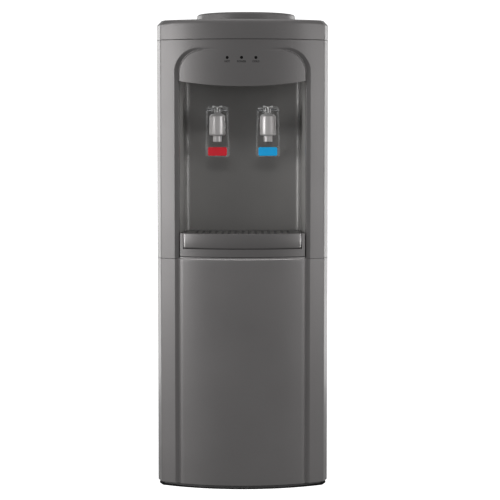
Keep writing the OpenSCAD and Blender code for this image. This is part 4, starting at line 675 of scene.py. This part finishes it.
# Plan of the cover, moved in by an inset: an arc concentric with the bulge, two swept corners,
# straight sides and a straight back, each corner rounded.
def coverOutline(inset):
    rear = high("top_cover").y - inset
    radius = casing["bulgeRadius"] + cover["lip"] - inset
    half, flange = halfWidth - inset, casing["flangeHalf"] - inset
    x = np.linspace(-flange, flange, 61)
    bend = 4  # columns of the arc that each swept corner takes the place of
    x = np.concatenate([x[:1], x[bend:-bend], x[-1:]])
    lean = casing["cornerOut"] / math.hypot(casing["cornerOut"], casing["cornerBack"])
    sideFront = cornerRearY + inset * lean
    points = np.vstack([np.column_stack([x, curveY - np.sqrt(radius ** 2 - x ** 2)]),
        [(half, sideFront), (half, rear), (-half, rear), (-half, sideFront)]])
    radii = np.zeros(len(points))
    radii[[0, len(x) - 1]] = casing["cornerRound"]
    radii[len(x):] = [casing["sideRound"], cover["rearRound"], cover["rearRound"],
        casing["sideRound"]]
    return roundCorners(points, radii, 6, closed=True)


# The cover's skin. Its top edge is a quarter round at the front and back and a chamfer with
# softened ends at both sides; each row blends the two by how far out it lies.
def makeCover():
    seamZ, deckZ = low("top_cover").z, high("top_cover").z
    edge, wall = cover["edgeRound"], cover["wall"]
    wide, tall = cover["chamferWide"], cover["chamferHigh"]
    turns = np.linspace(0, math.pi / 2, len(coverShares["slant"]))
    rows = [(inset, inset, seamZ + z, seamZ + z, 0) for inset, z in cover["foot"]]
    rows += [(edge * (1 - math.cos(turn)), wide * slant,
        deckZ - cover["edgeHigh"] * (1 - math.sin(turn)), deckZ - tall * (1 - rise), 0)
        for turn, slant, rise in zip(turns, coverShares["slant"], coverShares["rise"])]
    rows += [(edge, wide, deckZ, deckZ, share) for share in coverShares["deck"]]
    under = deckZ - cover["deck"]
    rows += [(edge, wide, under, under, 1), (wall, wide, under, under, 0),
        (wall, wall, seamZ, seamZ, 0)]
    out = smoothStep((np.abs(coverOutline(0)[:, 0]) - cover["chamferFrom"])
        / cover["chamferBlend"])[:, None]
    layers = []
    for roundInset, slantInset, roundZ, slantZ, share in rows:
        outline = coverOutline(roundInset) * (1 - out) + coverOutline(slantInset) * out
        away = outline - [bottleX, bottleY]
        circle = away / np.linalg.norm(away, axis=1)[:, None] * cover["holeRadius"] + [bottleX,
            bottleY]
        flat = outline * (1 - share) + circle * share
        layers.append(np.column_stack([flat, roundZ * (1 - out) + slantZ * out]))
    count = len(layers[0])
    faces = gridFaces(len(layers), count, True, True)[:, ::-1].tolist()
    addPiece("cover_shell", np.vstack(layers), faces, "graphite_plastic", "cabinet",
        ["top_cover"])


makeCover()
collar = {"seatRadius": 84.6, "boreRadius": 78.5, "mouthRadius": 79, "waist": 2.5,
    "step": [1.6, 4.5], "rim": 3.2, "rounding": [0.2, 0.8, 1.0, 1.6, 4, 3, 0.3, 0.3]}
funnel = {"probeHole": 9.35, "socket": 31, "socketOut": 33.2, "socketHigh": 18.2, "neck": 35,
    "neckHigh": 21.2, "cone": 77, "coneOut": 79, "flange": 84, "flangeThick": 2.3, "floor": 2.2,
    "rounding": [0, 1, 3, 2, 0.5, 0.5, 0.4, 1.2, 2.5, 6, 4, 1, 0.4]}


# Collar and funnel: two closed profiles of radius and height in millimetres, turned about the
# bottle's axis.
def makeBottleSeat():
    seatCentre = (bottleX, bottleY, 0)
    foot, top = low("bottle_collar").z / mm, high("bottle_collar").z / mm
    radius = (high("bottle_collar").x - bottleX) / mm
    waistZ = foot + collar["waist"]
    profile = [(collar["seatRadius"], foot), (radius, foot), (radius, waistZ),
        (radius - collar["step"][0], foot + collar["step"][1]), (radius - collar["rim"], top),
        (collar["mouthRadius"], top), (collar["boreRadius"], waistZ),
        (collar["seatRadius"], waistZ)]
    lathePiece("collar_ring", np.array(profile) * mm, np.array(collar["rounding"]) * mm,
        seatCentre, "graphite_plastic", "cabinet", ["bottle_collar"], 144, steps=6)
    foot, top = low("bottle_receiver").z / mm, high("bottle_receiver").z / mm
    shoulderZ, flangeZ = foot + funnel["socketHigh"], top - funnel["flangeThick"]
    profile = [(funnel["probeHole"], foot), (funnel["socketOut"], foot),
        (funnel["socketOut"], shoulderZ), (funnel["coneOut"], flangeZ - 4),
        (funnel["coneOut"], flangeZ), (funnel["flange"], flangeZ), (funnel["flange"], top),
        (funnel["cone"], top), (funnel["cone"] - 0.2, flangeZ - 2),
        (funnel["neck"], foot + funnel["neckHigh"]), (funnel["socket"], shoulderZ),
        (funnel["socket"], foot + funnel["floor"]), (funnel["probeHole"], foot + funnel["floor"])]
    lathePiece("funnel", np.array(profile) * mm, np.array(funnel["rounding"]) * mm, seatCentre,
        "niche_plastic", "cabinet", ["bottle_receiver"], 128, steps=5)


makeBottleSeat()
dressCopy("feed_probe", 0.5)


# Casing sheets

print("stage: casing sheets")
sheet = metres({"thick": 1, "bend": 1.8, "rearFlange": 14, "frontFlange": 8, "edge": 0.3})


# Folded side sheet: its plan is a front return, the side and a rear flange with rounded bends,
# mirrored for the left side, and it stands over that plan in level rows.
def makeSidePanel(node, side):
    lowCorner, highCorner = low(node), high(node)
    corners = [(halfWidth - sheet["frontFlange"], lowCorner.y), (halfWidth, lowCorner.y),
        (halfWidth, highCorner.y), (halfWidth - sheet["rearFlange"], highCorner.y)]
    steps = 5
    plan = roundCorners(corners, [0, sheet["bend"], sheet["bend"], 0], steps)
    flat = steps + 1  # where the side begins, at the end of the first bend
    between = np.linspace(plan[flat], plan[flat + 1], 20)[1:-1]
    plan = np.vstack([plan[:flat + 1], between, plan[flat + 1:]]) * np.array([side, 1])
    if side < 0:
        plan = plan[::-1]
    heights = np.linspace(lowCorner.z, highCorner.z, 50)
    outer = np.concatenate([np.repeat(plan[:, None], len(heights), 1),
        np.broadcast_to(heights[None, :, None], (len(plan), len(heights), 1))], axis=-1)
    inner = outer.copy()
    inner[..., :2] -= planNormals(plan)[:, None] * sheet["thick"]
    points, faces, rim = sheetShell(outer, inner)
    addPiece(node + "_sheet", points, faces, "graphite_enamel", "cabinet", [node],
        bevel=sheet["edge"], rimEdges=rim)


makeSidePanel("left_side_panel", -1)
makeSidePanel("right_side_panel", 1)
for node, bevel in {"back_panel": 0.2, "base_pan": 0.6, "feet": 0.5, "panel_screws": 0.25}.items():
    dressCopy(node, bevel)


# Taps

print("stage: taps")
tapKinds = ("hot", "cold")
tapSizes = {"spoutBore": 5.5, "spout": 8, "spoutHigh": 11.5, "body": 14.5, "chamber": 10.5,
    "chamberFloor": 6, "bodyRounding": [0.4, 0.9, 1.2, 2.8, 0.5, 0.3, 0.3, 0.3], "shank": 9.5,
    "shankBore": 5, "shankZ": 655.2, "shankRear": 16, "shankFront": 62, "plate": 15,
    "plateThick": 4, "plateGap": 0.3,
    "shankRounding": [0.2, 0.6, 0.1, 0.3, 1.6, 0.8, 0.4, 0.1, 0.1]}


# One tap: its barrel's profile of radius and height is turned about the spout's upright axis, and
# its shank's, with the plate that lies on the rear wall, about a level axis from back to front.
def makeTap(kind):
    node = kind + "_tap_body"
    x = (low(node).x + high(node).x) / 2
    y = low(node).y + tapSizes["body"] * mm
    bottom, top = low(node).z / mm, high(node).z / mm
    s = tapSizes
    bodyZ = bottom + s["spoutHigh"]
    floorZ = bodyZ + s["chamberFloor"]
    barrel = [(s["spoutBore"], bottom), (s["spout"], bottom), (s["spout"], bodyZ),
        (s["body"], bodyZ), (s["body"], top), (s["chamber"], top), (s["chamber"], floorZ),
        (s["spoutBore"], floorZ)]
    lathePiece(kind + "_tap_barrel", np.array(barrel) * mm, np.array(s["bodyRounding"]) * mm,
        (x, y, 0), "silver_plastic", "cabinet", [node], 96, steps=5)
    wall = -niche["rearY"] / mm
    rear, plate, face = wall - s["shankRear"], wall + s["plateGap"], wall + s["plateThick"]
    shank = [(s["shankBore"], rear), (s["shank"], rear), (s["shank"], plate), (s["plate"], plate),
        (s["plate"], face), (s["shank"] + 1, face), (s["shank"], face + 1),
        (s["shank"], s["shankFront"]), (s["shankBore"], s["shankFront"])]
    lathePiece(kind + "_tap_shank", np.array(shank) * mm, np.array(s["shankRounding"]) * mm,
        (x, 0, s["shankZ"] * mm), "silver_plastic", "cabinet", (), 80, axis="y")
    dressCopy(kind + "_tap_cap", 0.35, "bright_silver")
    dressCopy(kind + "_tap_stem", 0.35, "bright_silver")
    spring = dressCopy(kind + "_tap_spring", 0)
    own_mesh(spring)
    dressCopy(kind + "_tap_lever", 0.5)
    dressCopy(kind + "_tap_tab", 0.7)


for kind in tapKinds:
    makeTap(kind)
dressCopy("tap_pins", 0.2, "pin_steel")
dressCopy("tap_nuts", 0.4)


# Lamps and their words

print("stage: lamps")
lampRow = metres({"shift": -1.5, "pitch": 25.4, "wordZ": 768.3, "wordSize": 4.59,
    "wordThick": 0.04, "wordBolder": 0.18, "wordLift": 0.02})
words = {"HOT": -1, "POWER": 0, "COLD": 1}
lensBezel = 1.22


# The three lenses with their bezels: each point goes to its own lamp's axis plus its distance
# from it times the bezel's factor.
def makeLenses():
    lenses = dressCopy("indicator_lenses", 0.35)
    spots = np.empty(len(lenses.data.vertices) * 3)
    lenses.data.vertices.foreach_get("co", spots)
    spots = spots.reshape(-1, 3)
    axisX = lampRow["shift"] + np.round((spots[:, 0] - lampRow["shift"])
        / lampRow["pitch"]) * lampRow["pitch"]
    axisZ = (spots[:, 2].min() + spots[:, 2].max()) / 2
    spots[:, 0] = axisX + (spots[:, 0] - axisX) * lensBezel
    spots[:, 2] = axisZ + (spots[:, 2] - axisZ) * lensBezel
    lenses.data.vertices.foreach_set("co", spots.ravel())
    lenses.data.update()


makeLenses()
dressCopy("indicator_board", 0.2)


# A printed word: the font's flat outline made a thin mesh, then laid on the front's arc at its
# own place in the row.
def makeWord(word, place):
    curve = bpy.data.curves.new("word_" + word.lower(), "FONT")
    curve.body = word
    curve.size = lampRow["wordSize"]
    curve.align_x = "CENTER"
    curve.extrude = lampRow["wordThick"]
    curve.offset = lampRow["wordBolder"]
    holder = bpy.data.objects.new("holder", curve)
    bpy.context.scene.collection.objects.link(holder)
    bpy.context.view_layer.update()
    mesh = bpy.data.meshes.new_from_object(holder.evaluated_get(
        bpy.context.evaluated_depsgraph_get()))
    bpy.data.objects.remove(holder)
    spots = np.empty(len(mesh.vertices) * 3)
    mesh.vertices.foreach_get("co", spots)
    spots = spots.reshape(-1, 3)
    x = spots[:, 0] + lampRow["shift"] + place * lampRow["pitch"]
    z = spots[:, 1] - spots[:, 1].mean() + lampRow["wordZ"]
    placed = np.column_stack([x, frontAt(x) - lampRow["wordLift"] - spots[:, 2], z])
    mesh.vertices.foreach_set("co", placed.ravel())
    mesh.update()
    piece = bpy.data.objects.new("word_" + word.lower(), mesh)
    bpy.context.scene.collection.objects.link(piece)
    finishPiece(piece, "ink", "cabinet", ())


for word, place in words.items():
    makeWord(word, place)


# Water and cooling parts

print("stage: inner parts")
smoothNodes = ("evaporator_coil", "cold_tap_hose", "hot_tap_hose", "hot_feed_hose", "drain_hose",
    "condenser_tube", "filter_drier", "discharge_line", "suction_line")
for node, bevel in {"cold_tank": 0.2, "cold_tank_lid": 0.4, "baffle": 0.3, "tank_foam": 1.5,
        "evaporator_coil": 0, "thermostats": 0.5, "hot_tank": 0.2, "band_heater": 0.4,
        "tank_shelf": 0.2, "cold_tap_hose": 0, "hot_tap_hose": 0, "hot_feed_hose": 0,
        "drain_hose": 0, "compressor": 0.6, "compressor_grommets": 0.4, "relay_cover": 1.2,
        "condenser_wires": 0, "condenser_clips": 0.4, "switch_housings": 0.4, "hot_switch": 0.5,
        "cold_switch": 0.5, "cord_gland": 0.6, "drain_outlet": 0.5, "drain_plug": 0.6,
        "condenser_tube": 0, "filter_drier": 0, "discharge_line": 0,
        "suction_line": 0}.items():
    dressCopy(node, bevel, crease=60 if node in smoothNodes else 32)


# Floor, light and camera

print("stage: studio")
studio = {"wallRadius": 8.0, "wallTop": 8.0, "wallRound": 2.0, "floorDrop": 0.0004,
    "world": 0.42, "worldBelow": 0.62, "paperGlow": 0.86, "shadeInset": 0.0022,
    "shadeDrop": 0.0002, "middleY": -0.1, "highestAim": 0.6, "horizon": (-0.35, 0.1)}


# A plain material for the stage: one colour with some glow of its own.
def stageFinish(name, colour, glow):
    material = bpy.data.materials.new(name)
    material.use_nodes = True
    shader = material.node_tree.nodes["Principled BSDF"]
    shader.inputs["Base Color"].default_value = (*colour, 1)
    shader.inputs["Roughness"].default_value = 0.9
    shader.inputs["Specular IOR Level"].default_value = 0
    shader.inputs["Emission Color"].default_value = (1, 1, 1, 1)
    shader.inputs["Emission Strength"].default_value = glow
    return material


# A piece of the stage, which the camera sees and which neither lights nor shades the object.
def stagePiece(name, points, faces, material):
    mesh = bpy.data.meshes.new(name)
    mesh.from_pydata(np.asarray(points).tolist(), [], faces)
    mesh.shade_smooth()
    mesh.materials.append(material)
    piece = bpy.data.objects.new(name, mesh)
    bpy.context.scene.collection.objects.link(piece)
    piece.visible_diffuse = piece.visible_glossy = piece.visible_transmission = False
    piece.visible_shadow = False
    return piece


# White room in one sweep, turned about the object: a flat floor, an upright wall and a ceiling
# with rounded corners between them. A dark sheet under the cabinet is its shade on the floor.
def makeRoom():
    wall, top = studio["wallRadius"], studio["wallTop"]
    profile = roundCorners([(0.0, 0.0), (wall, 0.0), (wall, top), (0.0, top)],
        [0, studio["wallRound"], studio["wallRound"], 0], 16)
    points = turnedPoints(profile[::-1], 64).reshape(-1, 3) - [0, 0, studio["floorDrop"]]
    room = stagePiece("room", points, gridFaces(64, len(profile), True).tolist(),
        stageFinish("paper", (0.9, 0.9, 0.9), studio["paperGlow"]))
    room.visible_transmission = True
    outline = coverOutline(studio["shadeInset"])
    stagePiece("shade_below",
        np.column_stack([outline, np.full(len(outline), -studio["shadeDrop"])]),
        [list(range(len(outline)))], stageFinish("floor_shade", (0.05, 0.05, 0.05), 0.0))


# A soft box that stands round the object: its place is given by its angle from the front, its
# distance and its height, and it looks at the middle of the object.
def makeLight(name, angle, distance, height, size, power):
    light = bpy.data.lights.new(name, "AREA")
    light.shape = "RECTANGLE"
    light.size, light.size_y = size
    light.energy = power
    lamp = bpy.data.objects.new(name, light)
    bpy.context.scene.collection.objects.link(lamp)
    turn = math.radians(angle)
    middle = studio["middleY"]
    place = Vector((distance * math.sin(turn), middle - distance * math.cos(turn), height))
    lamp.location = place
    aim = Vector((0, middle, min(height, studio["highestAim"])))
    lamp.rotation_euler = (aim - place).to_track_quat("-Z", "Y").to_euler()
    return lamp


# A small reflector's light that falls on the named pieces alone, and is shaded by them alone
# where alone is set.
def aimAt(lamp, names, alone=False):
    group = bpy.data.collections.new(lamp.name + "_pieces")
    for name in names:
        group.objects.link(bpy.data.objects[name])
    lamp.light_linking.receiver_collection = group
    if alone:
        lamp.light_linking.blocker_collection = group


# Angle in degrees, distance and height in metres, size in metres and power in watts.
softBoxes = {
    "left_box": (-62, 2.6, 0.74, (1.6, 1.2), 25),
    "right_box": (60, 2.6, 0.72, (1.4, 1.2), 11),
    "left_side_box": (-96, 2.6, 0.75, (1.3, 1.5), 9),
    "right_side_box": (98, 2.6, 0.75, (1.2, 1.5), 7),
    "left_rear_box": (-140, 2.6, 0.60, (1.2, 1.6), 16),
    "right_rear_box": (140, 2.6, 0.60, (1.2, 1.6), 14)}
tabs = [kind + "_tap_tab_dressed" for kind in tapKinds]
tapPieces = [kind + part for kind in tapKinds for part in ("_tap_barrel", "_tap_cap_dressed",
    "_tap_stem_dressed", "_tap_lever_dressed", "_tap_tab_dressed")]
# The same, then the pieces that the lamp falls on and whether they alone shade each other.
reflectors = {
    "niche_left": ((-66, 1.3, 0.52, (0.35, 0.9), 10.5), ["niche_walls"], False),
    "niche_right": ((66, 1.3, 0.52, (0.35, 0.9), 9), ["niche_walls"], False),
    "niche_above": ((0, 1.4, 1.75, (1.2, 0.3), 5), ["niche_walls"], False),
    "tray_left": ((-98, 1.0, 0.45, (0.3, 0.3), 4.5), ["tray_shell"], True),
    "tray_right": ((98, 1.0, 0.45, (0.3, 0.3), 3.5), ["tray_shell"], True),
    "brow_light": ((0, 0.8, 2.2, (3.0, 0.6), 40), ["lower_front"], False),
    "tab_light": ((0, 1.0, 1.0, (0.5, 0.3), 2.5), tabs, True),
    "tap_left": ((-105, 1.0, 0.68, (0.3, 0.6), 6.5), tapPieces, True),
    "tap_right": ((105, 1.0, 0.68, (0.3, 0.6), 5.5), tapPieces, True)}
makeRoom()
for name, settings in softBoxes.items():
    makeLight(name, *settings)
for name, (settings, pieces, alone) in reflectors.items():
    aimAt(makeLight(name, *settings), pieces, alone)
makeLight("overhead", 0, 0.3, 3.0, (2.4, 2.0), 14)
world = bpy.data.worlds.new("room_light")
world.use_nodes = True
background = world.node_tree.nodes["Background"]
background.inputs["Strength"].default_value = studio["world"]
direction = world.node_tree.nodes.new("ShaderNodeTexCoord")
parts = linkedNode(world.node_tree, "ShaderNodeSeparateXYZ",
    Vector=direction.outputs["Generated"])
dim = mapNode(world.node_tree, parts.outputs["Z"], *studio["horizon"], studio["worldBelow"], 1.0)
world.node_tree.links.new(dim.outputs["Result"], background.inputs["Color"])
bpy.context.scene.world = world
bpy.context.scene.view_settings.view_transform = "Standard"
photo = {"place": (0.0135, -3.120, 0.6347), "pitch": 3.90, "pixels": 500,
    "focalPixels": 1661.4, "sensor": 36}
camera = bpy.data.cameras.new("photo_view")
camera.sensor_width = photo["sensor"]
camera.lens = photo["sensor"] * photo["focalPixels"] / photo["pixels"]
cameraObject = bpy.data.objects.new("photo_view", camera)
bpy.context.scene.collection.objects.link(cameraObject)
cameraObject.location = photo["place"]
cameraObject.rotation_euler = (math.radians(90 - photo["pitch"]), 0, 0)
bpy.context.scene.camera = cameraObject
